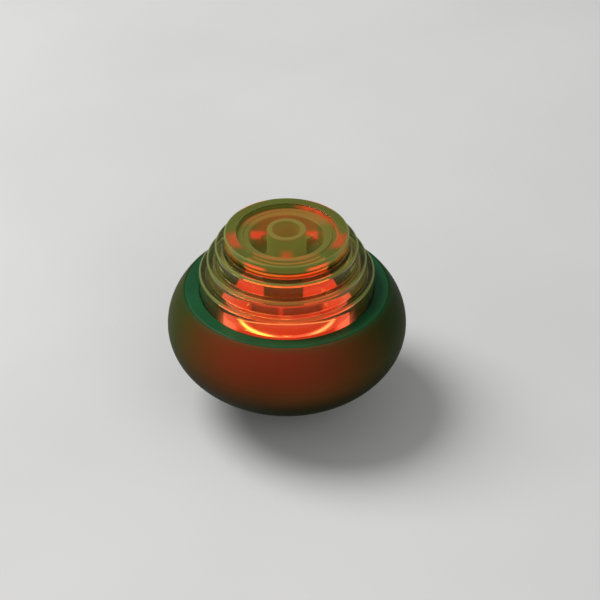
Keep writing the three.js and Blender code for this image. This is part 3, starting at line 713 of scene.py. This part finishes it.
def socket_plastic():
    """The socket's lime plastic, hazier than the dome, with the lamps' light in its well."""
    look = Look("socket_lime", (0.1, 0.1, 0.02), 0.22, Transmission_Weight=0.1, IOR=1.45,
                Specular_Tint=SHEEN_TINT, Specular_IOR_Level=0.2)
    look.bump(look.noise(400, 3), 0.08, 0.03)
    look.gloss(200, 5, 0.4, 0.75, 0.2, 0.34)
    post = look.where(radius=(5.2, 5), z=(44, 45))
    # Painted shade at the bottom of the well: its floor is darker in colour and glows less.
    floor = look.where(z=(44.2, 43.8), radius=(5, 5.4))
    colour = look.mix(post, (0.09, 0.085, 0.016), (0.09, 0.105, 0.022))
    look.set("Base Color", look.mix(floor, colour, (0.05, 0.05, 0.01)))
    # The whole socket is lit from below: amber behind and in front, olive at the sides.
    amber = look.largest(look.where(y=(3, 8)), look.where(y=(-7, -9)))
    patches = look.product(look.fade(look.noise(130, 3), 0.3, 0.62, 0.6, 1.0), amber)
    haze_glow = look.mix(patches, (0.06, 0.055, 0.009), (0.25, 0.06, 0.014))
    post_glow = look.mix(look.where(z=(50.2, 50.7)), (0.09, 0.085, 0.014), (0.13, 0.06, 0.01))
    haze_glow = look.mix(post, haze_glow, post_glow)
    # Brighter light in the post's hole, at the post's foot and on the well's wall beside it.
    haze_glow = look.mix(look.where(radius=(3.6, 3.3), z=(50.6, 49.5)), haze_glow, (0.2, 0.062, 0.014))
    foot = look.where(away=(2.3, 0.2), y=(-3, -4), z=(43, 47, 1.6), radius=(5.6, 5))
    haze_glow = look.mix(look.product(foot, 0.5), haze_glow, RED_GLOW)
    slanted = look.sum_of(look.y, 0.73, look.z)  # the wall's patches fall towards the back
    beside = look.largest(look.where(x=(-8.8, -5.4, 0.5)), look.where(x=(4.3, 7.6, 0.5)))
    wall = look.where(beside, look.where(radius=(10.4, 10)), look.band(slanted, 48.2, 50.4, 0.7),
                      radius=(8.3, 9), y=(1, 3))
    look.glow(look.mix(wall, haze_glow, (0.62, 0.045, 0.02)), look.fade(floor, 0, 1, 1.0, 0.8))
    return look


def body_plastic(name):
    """Olive plastic with the red lamp's glow through the shell painted into its colour as a wide
    red-brown band, strongest towards the lamp, and with painted shade on its right side and towards
    its bottom.
    """
    look = Look(name, (0.05, 0.06, 0.012), 0.5, Specular_IOR_Level=0.04)
    # The painted glow's middle lies a little to the left of the lamp.
    turn = look.math("ARCTAN2", look.math("ADD", look.x, 5 * MM), look.math("MULTIPLY", look.y, -1))
    share = look.where(look.fade(look.math("ABSOLUTE", turn), 1.25, 0.1),
                       look.fade(look.noise(45, 3), 0.2, 0.8, 0.8, 1.0), z=(15, 29))
    olive = look.mottle(60, 4, (0.029, 0.037, 0.004), (0.04, 0.046, 0.006))
    # Painted shade: the olive is darker on the right side, and darker again towards the bottom.
    olive = look.mix(look.where(x=(0, 26)), olive, (0.017, 0.027, 0.003))
    olive = look.mix(look.where(z=(25, 16)), olive, (0.009, 0.011, 0.001))
    # Painted light: the red-brown of the lamp's glow, mixed into the base colour where the band lies.
    colour = look.mix(share, olive, (0.205, 0.024, 0.0085))
    # The shell's lip at the collar's edge is tinted green by it.
    look.set("Base Color", look.mix(look.where(z=(32.2, 35.6)), colour, COLLAR_GREEN))
    look.moulded(0.3, 0.1)
    return look


DOME = dome_plastic("dome_clear")
DOME_EDGE = dome_edge()
DOME_WALL = lit_wall()
DOME_CEILING = lit_ceiling()
DOME_RIM = dome_rim()
TRAY = tray_plastic()
RING = ring_plastic()
SOCKET = socket_plastic()
COLLAR = opaque_plastic("collar_green", COLLAR_GREEN, 0.45, 0.12, Specular_IOR_Level=0.15)
SHELL_UP = body_plastic("shell_upper")
SHELL_LOW = body_plastic("shell_lower")
DOOR = opaque_plastic("door_green", (0.016, 0.04, 0.01), 0.42)
WHITE = opaque_plastic("white_moulding", (0.75, 0.74, 0.7), 0.45, 0.06)
EPOXY = opaque_plastic("black_epoxy", (0.012, 0.012, 0.013), 0.3, 0.3)
STEEL = metal("zinc_steel", (0.62, 0.62, 0.6), 0.28)
CHROME = metal("polished_ball", (0.72, 0.72, 0.74), 0.1, (1, 1, 1), 0.05, 0.04)
BRASS = metal("brass_strip", (0.72, 0.5, 0.2), 0.25, (30, 1, 1))
NICKEL = metal("nickel_can", (0.7, 0.69, 0.64), 0.2, (1, 1, 8))
SOLDER = metal("solder", (0.62, 0.6, 0.56), 0.3, (1, 1, 1))


# ---- Dome, socket, deck ---------------------------------------------------------------------
def make_dome():
    flange_top = FLANGE_FOOT + FLANGE_PLATE
    outside = []
    inside = []
    for i, (radius, top) in enumerate(TIERS):
        last = i == len(TIERS) - 1
        foot = flange_top if last else TIERS[i + 1][1]
        roof = foot if i == 0 else top - LENS_WALL
        outside += [(radius, top, EDGE_FILLET), (radius, foot, FILLET)]
        inside += [(radius - LENS_WALL, roof, FILLET),
                   (radius - LENS_WALL, FLANGE_FOOT if last else foot - LENS_WALL, FILLET)]
    seat = DOME_TOP - RECESS_DEPTH - SOCKET_PLATE - SEAM
    hole = WELL_RADIUS + SOCKET_PLATE + SEAM
    rim_foot = TIERS[1][1]
    corners = [(hole, seat), (RECESS_RADIUS, seat), (RECESS_RADIUS, DOME_TOP, 0.35), *outside,
               (FLANGE_RADIUS, flange_top, FILLET), (FLANGE_RADIUS, FLANGE_FOOT, FILLET),
               *reversed(inside), (hole, rim_foot)]
    dome = lathe("dome", corners, FINE, 5)
    coat(dome, DOME, DOME_WALL, DOME_EDGE, DOME_CEILING, DOME_RIM)

    inner_radii = [radius - LENS_WALL for radius, _ in TIERS]
    roofs = [top - LENS_WALL for _, top in TIERS[1:]]
    close = 0.1

    def on_inner_wall(r, z, n):
        upright = abs(n.z) < 0.3 and any(abs(r - i) < close for i in inner_radii)
        return upright or r < inner_radii[3] and any(abs(z - i) < close for i in roofs)

    def on_rim(r, z, n):
        top = abs(n.z) > 0.9 and z > DOME_TOP - close
        outer_wall = abs(r - TIERS[0][0]) < close
        recess = r < RECESS_RADIUS + close and z > DOME_TOP - RECESS_DEPTH - 1
        return z > rim_foot + 0.3 and r > RECESS_RADIUS - close and (top or outer_wall or recess)

    def on_edge(r, z, n):
        depth = EDGE_FILLET + 0.01
        return any(radius - depth < r < radius + 0.01 and top - depth < z < top - 0.001
                   for radius, top in TIERS)

    paint(dome, DOME_WALL, on_inner_wall)
    paint(dome, DOME_RIM, on_rim)
    paint(dome, DOME_EDGE, on_edge)
    paint(dome, DOME_CEILING, lambda r, z, n: abs(z - rim_foot) < 0.05 and r < inner_radii[0])
    dress(dome, "dome_lens")


def make_socket():
    ledge = DOME_TOP - RECESS_DEPTH
    under_ledge = ledge - SOCKET_PLATE
    floor = ledge - WELL_DEPTH
    well = WELL_RADIUS + SOCKET_PLATE
    rim = RECESS_RADIUS - PARTING
    bead_top = ledge + BEAD_HEIGHT
    corners = [
        (0, floor - SOCKET_PLATE), (well, floor - SOCKET_PLATE, 0.5),
        (well, under_ledge, FILLET), (rim, under_ledge), (rim, ledge, 0.1),
        (BEAD[1], ledge, 0.1), (BEAD[1] - 0.2, bead_top, 0.1), (BEAD[0] + 0.2, bead_top, 0.1),
        (BEAD[0], ledge, 0.1), (WELL_RADIUS, ledge, 0.4), (WELL_RADIUS, floor, 0.4),
        (POST_RADIUS, floor, 0.4), (POST_RADIUS, POST_TOP, 0.3), (POST_HOLE, POST_TOP, 0.3),
        (POST_HOLE, POST_TOP - POST_HOLE_DEPTH, 0.3), (0, POST_TOP - POST_HOLE_DEPTH),
    ]
    socket = lathe("socket", corners)
    root = 0.4  # how far the ribs reach into the post, the well's wall and its floor

    def rib():
        return box((POST_RADIUS - root, WELL_RADIUS + root), (-0.5, 0.5),
                   (floor - root, floor + RIB_HEIGHT), 0.12)

    combine(socket, around(rib, RIB_ANGLES))
    dress(socket, "launch_socket", SOCKET)


def make_collar():
    inner = TIERS[-1][0] + SEAM
    skirt = COLLAR_RADIUS - COLLAR_SKIRT
    inner_top = COLLAR_TOP - COLLAR_DIP
    under = inner_top - COLLAR_PLATE
    corners = [(inner, under), (skirt, under), (skirt, COLLAR_FOOT), (COLLAR_RADIUS, COLLAR_FOOT),
               (COLLAR_RADIUS, COLLAR_TOP, 0.35), (inner, inner_top, 0.15)]
    dress(lathe("collar", corners), "collar_ring", COLLAR)


def make_tray():
    rim = LEDGE_RADIUS - CAD_GAP
    floor_edge = rim - TRAY_SLOPE
    groove = RING_RADII[0] - CAD_GAP, RING_RADII[1] + CAD_GAP
    seat = DISH_FLOOR - RING_GROOVE
    under = seat - TRAY_WALL
    (wide, low), (narrow, high) = HUB
    corners = [
        (TRAY_RADIUS, TRAY_TOP, FILLET), (rim - TRAY_WALL, TRAY_TOP, 0.3),
        (floor_edge - TRAY_WALL, DISH_FLOOR, 0.6),
        (groove[1], DISH_FLOOR, 0.1), (groove[1], seat), (groove[0], seat),
        (groove[0], DISH_FLOOR, 0.1),
        (wide, DISH_FLOOR, 0.8), (wide, low, 0.4), (narrow, low, 0.4), (narrow, high, 0.4),
        (0, high), (0, high - HUB_WALL), (narrow - HUB_WALL, high - HUB_WALL),
        (narrow - HUB_WALL, low - HUB_WALL), (wide - HUB_WALL, low - HUB_WALL),
        (wide - HUB_WALL, under),
        (floor_edge, under, 0.3), (rim, TRAY_TOP - TRAY_WALL, FILLET),
        (TRAY_RADIUS, TRAY_TOP - TRAY_WALL),
    ]
    tray = lathe("tray", corners)
    holes = around(lambda: rod(LAMP_RADIUS + 0.25, under - 1, DISH_FLOOR + 1), LAMPS.values(),
                   LAMP_CIRCLE)
    combine(tray, holes, "DIFFERENCE")
    dress(tray, "lamp_tray", TRAY)


def make_light_ring():
    foot, top = span("light_ring", 2)
    inner, outer = RING_RADII
    half = (outer - inner) / 2
    crown = arc((RING_MIDDLE, top - half), half, 0, math.pi, 12)
    ring = lathe("ring", [(inner, foot, 0.1), (outer, foot, 0.1), *crown])
    dress(ring, "light_ring", RING)


# ---- Shells ---------------------------------------------------------------------------------
def make_upper_shell():
    parting = BODY_MID_Z + PARTING / 2
    mouth = COLLAR_RADIUS + PARTING
    edge = COLLAR_TOP - 0.2
    ledge_foot = LEDGE_TOP - LEDGE_PLATE
    *outside, lip = body_curve(parting, edge, 0, 26)
    inside = body_curve(ledge_foot, parting, WALL, 10)
    corners = [*outside, (*lip, 0.15), (mouth, edge), (mouth, LEDGE_TOP, FILLET),
               (LEDGE_RADIUS, LEDGE_TOP, FILLET), (LEDGE_RADIUS, ledge_foot, FILLET), *inside]
    shell = lathe("upper", corners, FINE + 32, 3)
    root = LEDGE_TOP - LEDGE_PLATE / 2
    combine(shell, at_screws("body", BOSSES[1], BOSS_TOP + CAD_GAP, root, 32, FILLET))
    combine(shell, at_screws("body", PILOT, BOSS_TOP - 1, root - 2, 20), "DIFFERENCE")
    dress(shell, "upper_shell", SHELL_UP)


def make_lower_shell():
    parting = BODY_MID_Z - PARTING / 2
    mouth = DOOR_RADIUS + SEAM
    shelf = span("flywheel_ring", 2)[0] - 0.1
    shelf_edge = FLYWHEEL_BORE + 0.4
    rest_edge, rest_top = mouth - 2, BLOCK_FOOT + 1.6  # the rim that the door lies against
    outside = underside(mouth + 0.6, BODY_RADIUS * 0.88, 16)
    corners = [
        (mouth, underside_z(mouth) + 0.1, 0.15), *outside,
        *body_curve(outside[-1][1] + 0.6, parting, 0, 14), *body_curve(parting, shelf, WALL, 5),
        (shelf_edge, shelf, 0.15), (shelf_edge, shelf - 1, 0.15),
        *body_curve(shelf - 1, rest_top, WALL, 10),
        (rest_edge, rest_top), (rest_edge, BLOCK_FOOT), (mouth, BLOCK_FOOT),
    ]
    shell = lathe("lower", corners, FINE + 32, 3)
    within = lathe("within", [(0, BLOCK_FOOT), *body_curve(BLOCK_FOOT, BOSS_TOP, WALL / 2, 6),
                              (0, BOSS_TOP)])
    first, *others = at_screws("body", BOSSES[0], BLOCK_FOOT, BOSS_TOP, 40)
    bosses = combine(combine(first, others), [within], "INTERSECT")
    block = rod(mouth - 1, BLOCK_FOOT, BLOCK_TOP, FINE)
    standoffs = at_screws("board", STANDOFF, BLOCK_TOP - 0.5, BOARD_FOOT - SEAM, 24)
    combine(shell, [block, bosses, *standoffs])
    below, above = BLOCK_FOOT - 1, BLOCK_TOP + 1
    cuts = [
        *around(lambda: rod(CELL_POCKET, below, BLOCK_TOP - 1, 64), CELL_ANGLES, CELL_CIRCLE),
        *at_screws("door", PILOT, below, BLOCK_TOP - 2, 20),
        *at_screws("body", HEAD_WELL, 0, SCREW_SHOULDER, 40),
        *at_screws("body", SHANK_HOLE, SCREW_SHOULDER - 1.5, BOSS_TOP + 1, 20),
        *at_screws("board", BOARD_PILOT, BLOCK_TOP - 0.4, BOSS_TOP + 1, 16),
        # Slots for the contact strips' tabs, and a notch for the negative strip.
        *around(lambda: box((-1.6, 1.6), (-0.5, 0.5), (BLOCK_TOP - 2, above)), CELL_ANGLES,
                CELL_CIRCLE),
        box((11, 13.3), (-5, -2.3), (below, above)),
    ]
    combine(shell, cuts, "DIFFERENCE")
    dress(shell, "lower_shell", SHELL_LOW)


def make_flywheel():
    foot, top = span("flywheel_ring", 2)
    outer = radius_of("flywheel_ring")
    corners = [(FLYWHEEL_BORE, foot, 0.2), (outer - 0.6, foot, 0.3), (outer, foot + 0.8, 0.2),
               (outer, top, 0.3), (FLYWHEEL_BORE, top, 0.3)]
    dress(lathe("flywheel", corners), "flywheel_ring", STEEL)


# ---- Door, tip and screws -------------------------------------------------------------------
def make_door():
    hole = CUP_RADIUS + SEAM
    counterbore = CUP_FLANGE + 0.1
    seat = 6.3  # height of the face that the cup's flange stands on
    face = 7.45  # height of the door's inner face
    foot, boss, root = 2.7, 5.4, 7.0  # the boss round the tip: its foot, and its radii there and above
    rim = DOOR_RADIUS - 1.9
    corners = [
        (hole, foot), (boss, foot, 0.3), (root, underside_z(root), 0.6),
        *underside(root + 0.6, DOOR_RADIUS - 0.4, 10),
        (DOOR_RADIUS, underside_z(DOOR_RADIUS) + 0.15, 0.1), (DOOR_RADIUS, DOOR_TOP, 0.15),
        (rim, DOOR_TOP, 0.15), (rim, face, 0.2), (counterbore, face), (counterbore, seat),
        (hole, seat),
    ]
    door = lathe("door", corners)
    heads = at_screws("door", 1.85, 0, underside_z(SCREW_CIRCLES["door"]) + 1.1, 40)
    shanks = at_screws("door", 0.9, 0, 12, 24)
    # Low grip ribs between the screws.
    middle = 11.5
    z = underside_z(middle)
    angles = [angle + offset for angle in CELL_ANGLES for offset in (-14, -7, 0, 7, 14)]
    ribs = around(lambda: box((middle - 2.2, middle + 1.6), (-0.3, 0.3), (z - 0.2, z + 0.9), 0.15),
                  angles)
    combine(door, ribs)
    combine(door, heads + shanks, "DIFFERENCE")
    dress(door, "battery_door", DOOR)


def make_tip():
    cavity = BALL_RADIUS + 0.1
    start = math.asin((CUP_FOOT - BALL_MID_Z) / cavity)
    bowl = arc((0, BALL_MID_Z), cavity, start, math.pi / 2, 12)
    top = span("tip_cup", 2)[1]
    under = top - 0.3
    corners = [*bowl, (0, top), (CUP_FLANGE, top, 0.1), (CUP_FLANGE, under, 0.1),
               (CUP_RADIUS, under), (CUP_RADIUS, 2.3, 0.4), (3.2, CUP_FOOT, 0.25)]
    dress(lathe("cup", corners, 96), "tip_cup", BRASS)
    start = -math.acos(BALL_FLAT / BALL_RADIUS)
    ball = arc((0, BALL_MID_Z), BALL_RADIUS, start, math.pi / 2, 24)
    dress(lathe("ball", [(0, 0), *ball], 64), "tip_ball", CHROME)


def screw_shape(head, height, shank, length):
    """A pan-head screw standing on its head at z = 0, with a cross recess and a thread."""
    corners = [(0, 0), (head * 0.7, 0, height * 0.35), (head, height * 0.7, height * 0.25),
               (head, height, 0.06), (shank, height, 0.08)]
    pitch = shank * 0.9
    turns = int((length - height * 0.6 - 1) / pitch)
    for k in range(turns):
        z = height + 0.4 + k * pitch
        corners += [(shank * 0.82, z), (shank, z + pitch * 0.35), (shank, z + pitch * 0.5)]
    corners += [(shank * 0.8, height + length - 1), (0, height + length)]
    body = lathe("screw", corners, 40, 3)
    long = (-head * 0.58, head * 0.58)
    narrow = (-0.22, 0.22)
    deep = (-1, height * 0.5)
    return combine(body, [box(long, narrow, deep, 0.05), box(narrow, long, deep, 0.05)],
                   "DIFFERENCE")


def make_screws():
    body_head = 1.6
    kinds = {
        # kind: (height of the head's face, (head, head height, shank, length))
        "door": (underside_z(SCREW_CIRCLES["door"]) - 0.2, (1.6, 1.0, 0.6, 6)),
        "body": (SCREW_SHOULDER - CAD_GAP - body_head, (2.2, body_head, 0.9, 11)),
        "board": (BOARD_TOP + 1.1, (1.5, 0.9, 0.5, 2.4)),
    }
    for kind, (z, shape) in kinds.items():
        for number, angle in enumerate(SCREW_ANGLES[kind], 1):
            made = move(screw_shape(*shape), turn=17 * number, flip=kind == "board")
            move(made, x=SCREW_CIRCLES[kind], z=z, turn=angle)
            dress(made, f"{kind}_screw_{number}", STEEL)


# ---- Electronics ----------------------------------------------------------------------------
def lamp_plastic(name, colour, glow, strength):
    """Clear tinted epoxy that glows from its die."""
    look = Look(name, colour, 0.08, Transmission_Weight=0.7, IOR=1.5)
    look.bump(look.noise(500, 2), 0.05, 0.02)
    look.gloss(300, 4, 0.4, 0.8, 0.06, 0.2)
    look.glow(look.ramp(look.where(z=(20, 24)), [(0.0, colour), (0.7, colour), (1.0, glow)]),
              look.step(look.z, 20, 24, strength * 0.2, strength))
    return look


def make_lamps():
    red = lamp_plastic("red_lens", (0.9, 0.04, 0.02), YELLOW_GLOW, 4.0)
    green = lamp_plastic("green_lens", (0.05, 0.6, 0.08), (0.3, 1.0, 0.2), 0.5)
    foot = BOARD_TOP + CAD_GAP
    collar = LAMP_RADIUS + 0.4
    nose = arc((0, foot + LAMP_HEIGHT - LAMP_RADIUS), LAMP_RADIUS, 0, math.pi / 2, 9)
    corners = [(0, foot), (collar, foot, 0.1), (collar, foot + 1, 0.15),
               (LAMP_RADIUS, foot + 1, 0.1), *nose]
    for name, angle in LAMPS.items():
        lamp = lathe("lamp", corners, COARSE, 3)
        flat = box((-4, -LAMP_RADIUS), (-4, 4), (foot - 0.5, foot + 1.2))
        combine(lamp, [flat], "DIFFERENCE")
        combine(lamp, [box((-0.25, 0.25), (y - 0.25, y + 0.25), (BOARD_FOOT - 0.9, foot + 0.5),
                           0.06) for y in LEADS])
        coat(lamp, red if name == "led_red" else green, SOLDER)
        paint(lamp, SOLDER, lambda r, z, n: z < foot - 0.02)
        move(lamp, x=LAMP_CIRCLE, turn=angle)
        dress(lamp, name)


def board_look():
    """Green solder resist with copper tracks under it and a fine glass weave."""
    look = Look("solder_resist", (0.02, 0.16, 0.05), 0.35, Coat_Weight=0.3)
    tracks = look.node("ShaderNodeTexVoronoi", {"Vector": look.place, "Scale": 260},
                       feature="DISTANCE_TO_EDGE").outputs[0]
    line = look.fade(tracks, 0.09, 0.05)
    look.set("Base Color", look.mix(line, (0.012, 0.11, 0.035), (0.03, 0.2, 0.06)))
    look.bump(line, 0.4, 0.04)
    weave = look.node("ShaderNodeTexWave", {"Vector": look.place, "Scale": 700, "Distortion": 1.5})
    look.bump(weave.outputs["Fac"], 0.1, 0.02)
    look.gloss(120, 4, 0.3, 0.8, 0.28, 0.5)
    return look


def make_board():
    radius = radius_of("circuit_board")
    board = lathe("board", [(0, BOARD_FOOT), (radius, BOARD_FOOT, 0.1), (radius, BOARD_TOP, 0.1),
                            (0, BOARD_TOP)], 96, 3)
    holes = at_screws("board", 0.75, 0, 30, 20) + at_leads(lambda: rod(0.45, 0, 30, 12))
    combine(board, holes, "DIFFERENCE")
    # Solder cones round the lamps' leads, on the underside.
    cone = [(0.42, BOARD_FOOT + 0.2), (0.95, BOARD_FOOT + 0.2), (0.85, BOARD_FOOT - 0.1),
            (0.5, BOARD_FOOT - 0.35), (0.42, BOARD_FOOT - 0.4)]
    combine(board, at_leads(lambda: lathe("cone", cone, 20)))
    coat(board, board_look(), SOLDER)
    paint(board, SOLDER, lambda r, z, n: z < BOARD_FOOT - 0.02)
    dress(board, "circuit_board")


def make_chip():
    """A blob of epoxy, slightly out of round."""
    (left, right), sides, (foot, top) = spans("controller_chip")
    radius = (right - left) / 2
    blob = [(radius * math.cos(t), foot + (top - foot) * math.sin(t) ** 0.8)
            for t in (math.pi / 2 * k / 12 for k in range(12))]
    chip = lathe("chip", [(0, foot), *blob, (0, top)], 64)
    for vert in chip.data.vertices:
        turn = math.atan2(vert.co.y, vert.co.x)
        vert.co.x *= 1 + 0.03 * math.sin(3 * turn) - 0.03
        vert.co.y *= 1 + 0.03 * math.cos(2 * turn) - 0.03
    move(chip, x=(left + right) / 2, y=sum(sides) / 2)
    dress(chip, "controller_chip", EPOXY)


def make_resistors():
    cap = 0.4  # length of the metal ends
    for node in ("resistor_1", "resistor_2"):
        (left, right), y, z = spans(node)
        part = box((left, right), y, z, 0.08)
        coat(part, EPOXY, SOLDER)
        combine(part, [box((left, left + cap), y, z, 0.1), box((right - cap, right), y, z, 0.1)])
        for face in part.data.polygons:
            if abs(face.center.x / MM - (left + right) / 2) > 0.58:
                face.material_index = 1
        dress(part, node, EPOXY, SOLDER)


def make_switch():
    x, y, z = spans("switch_trough")
    wall = 0.7
    trough = box(x, y, z, 0.15)
    channel = box((x[0] + wall, x[1] - wall), (y[0] + wall, y[1] - wall), (z[0] + wall, z[1] + 2),
                  0.1)
    combine(trough, [channel], "DIFFERENCE")
    dress(trough, "switch_trough", WHITE)

    (left, right), _, (foot, top) = spans("switch_weight")
    axle = (foot + top) / 2
    radius = (top - foot) / 2
    waist = radius - 0.15
    length = right - left
    corners = [(0, 0), (radius, 0, 0.2), (radius, length * 0.35), (waist, length * 0.4),
               (waist, length * 0.6), (radius, length * 0.65), (radius, length, 0.2), (0, length)]
    weight = lathe("weight", corners, COARSE)
    weight.data.transform(Matrix.Rotation(math.pi / 2, 4, "Y"))
    move(weight, x=left, z=axle)
    dress(weight, "switch_weight", BRASS)

    left, right = span("switch_spring", 0)
    wire = 0.18
    coil = 0.85
    turns = 4
    steps = turns * 24
    points = []
    for k in range(steps + 1):
        angle = 2 * math.pi * turns * k / steps
        points.append(Vector((left + wire + (right - left - 2 * wire) * k / steps,
                              coil * math.cos(angle), axle + coil * math.sin(angle))))
    dress(tube("spring", points, wire), "switch_spring", STEEL)

    x, y, z = spans("switch_contact")
    plate = box((x[0], x[0] + 0.5), y, z, 0.1)
    dress(combine(plate, [box(x, y, (z[0], z[0] + 0.4), 0.1)]), "switch_contact", BRASS)


def make_cells():
    foot, top = span("cell_1", 2)
    shoulder = foot + 0.35
    gasket = CELL_RADIUS - 1.05, CELL_RADIUS - 0.8
    corners = [
        (0, foot), (CELL_RADIUS - 1.3, foot, 0.25), (gasket[0], foot + 0.5),
        (gasket[1], foot + 0.5), (CELL_RADIUS - 0.75, shoulder, 0.08),
        (CELL_RADIUS, shoulder, 0.3), (CELL_RADIUS, top, 0.35),
        (CELL_RADIUS - 1.2, top), (CELL_RADIUS - 1.3, top - 0.06), (CELL_RADIUS - 1.5, top - 0.06),
        (CELL_RADIUS - 1.6, top), (0, top),
    ]
    for number, angle in enumerate(CELL_ANGLES, 1):
        cell = lathe("cell", corners, 72)
        coat(cell, NICKEL, EPOXY)
        paint(cell, EPOXY, lambda r, z, n: gasket[0] - 0.01 < r < gasket[1] + 0.04
              and z < foot + 0.6)
        move(cell, x=CELL_CIRCLE, turn=angle)
        dress(cell, f"cell_{number}")


def cell_point(i):
    """Centre of a cell in the plan."""
    angle = math.radians(CELL_ANGLES[i])
    return Vector((CELL_CIRCLE * math.cos(angle), CELL_CIRCLE * math.sin(angle)))


def pad(point, radius, foot):
    """A round contact pad of brass sheet."""
    return move(rod(radius, foot, foot + SHEET, COARSE, 0.08), x=point.x, y=point.y)


def strip(start, end, width, foot):
    """A straight flat strip of brass sheet between two points."""
    along = end - start
    middle = (start + end) / 2
    made = box((-along.length / 2, along.length / 2), (-width / 2, width / 2), (foot, foot + SHEET),
               0.05)
    move(made, turn=math.degrees(math.atan2(along.y, along.x)))
    return move(made, x=middle.x, y=middle.y)


def tab(i, foot, top):
    """A tab that stands on a cell and rises through the battery block's roof."""
    made = box((-1.2, 1.2), (-SHEET / 2, SHEET / 2), (foot, top), 0.05)
    return move(made, x=CELL_CIRCLE, turn=CELL_ANGLES[i])


def make_contacts():
    foot, top = span("contact_positive", 2)
    plus = combine(pad(cell_point(0), 3, foot), [tab(0, foot, top)])
    dress(plus, "contact_positive", BRASS)

    foot, top = span("contact_negative", 2)
    edge = span("contact_negative", 0)[1]
    point = cell_point(2)
    across = point.y - 1.1, point.y + 1.1
    minus = combine(pad(point, 3, foot), [
        box((point.x, edge), across, (foot, foot + SHEET), 0.05),
        box((edge - SHEET, edge), across, (foot, top), 0.05),
    ])
    dress(minus, "contact_negative", BRASS)

    foot, top = span("contact_roof_bridge", 2)
    start, end = cell_point(1), cell_point(2)
    under = top - SHEET
    bridge = combine(strip(start, end, 2, under), [
        pad(start, 1.5, under), pad(end, 1.5, under), tab(1, foot, top), tab(2, foot, top),
    ])
    dress(bridge, "contact_roof_bridge", BRASS)

    foot, top = span("contact_door_bridge", 2)
    start, end = cell_point(0), cell_point(1)
    bridge = combine(strip(start, end, 2.2, foot), [pad(start, 2.6, foot), pad(end, 2.6, foot)])
    dress(bridge, "contact_door_bridge", BRASS)


# ---- Stage ----------------------------------------------------------------------------------
CAMERA_ELEVATION = 36
CAMERA_DISTANCE = 480
CAMERA_SHIFT = (3.28, 5.17)  # the camera aims this far right of the body's centre and above it
LENS_MM = 114.2
SENSOR_MM = 36
AIM = Vector((0, 0, 25)) * MM  # where the lights point


def make_camera():
    tilt = math.radians(CAMERA_ELEVATION)
    right = Vector((1, 0, 0))
    back = Vector((0, -math.cos(tilt), math.sin(tilt)))
    up = Vector((0, math.sin(tilt), math.cos(tilt)))
    aim = Vector((0, 0, BODY_MID_Z)) + right * CAMERA_SHIFT[0] + up * CAMERA_SHIFT[1]
    data = bpy.data.cameras.new("camera")
    data.lens = LENS_MM
    data.sensor_width = SENSOR_MM
    data.clip_start = 0.01
    camera = add_object("camera", data)
    camera.location = (aim + back * CAMERA_DISTANCE) * MM
    camera.rotation_euler = (math.pi / 2 - tilt, 0, 0)
    bpy.context.scene.camera = camera


def area_light(name, place, size, power):
    """A round lamp at a place in metres, turned towards the top."""
    data = bpy.data.lights.new(name, "AREA")
    data.shape = "DISK"
    data.size = size
    data.energy = power
    light = add_object(name, data)
    light.location = place
    light.rotation_euler = (AIM - Vector(place)).to_track_quat("-Z", "Y").to_euler()


def make_stage():
    look = Look("pale_floor", (0.6, 0.6, 0.6), 0.75)
    look.set("Base Color", look.mottle(6, 4, (0.56, 0.56, 0.56), (0.62, 0.62, 0.61)))
    look.bump(look.noise(800, 3), 0.1, 0.05)
    bm = bmesh.new()
    bmesh.ops.create_grid(bm, x_segments=8, y_segments=8, size=2.5)
    floor = mesh_object("floor", bm)
    coat(floor, look)
    area_light("key", (-0.5, 0.2, 0.8), 0.6, 8)
    area_light("fill", (0.5, -0.7, 0.6), 0.9, 2)
    world = bpy.data.worlds.new("studio")
    world.use_nodes = True
    background = world.node_tree.nodes["Background"]
    background.inputs["Color"].default_value = (1.0, 1.0, 0.98, 1)
    background.inputs["Strength"].default_value = 0.35
    bpy.context.scene.world = world
    bpy.context.scene.view_settings.view_transform = "Standard"


make_dome()
make_socket()
make_collar()
make_tray()
make_light_ring()
make_upper_shell()
make_lower_shell()
make_flywheel()
make_door()
make_tip()
make_screws()
make_lamps()
make_board()
make_chip()
make_resistors()
make_switch()
make_cells()
make_contacts()
make_camera()
make_stage()
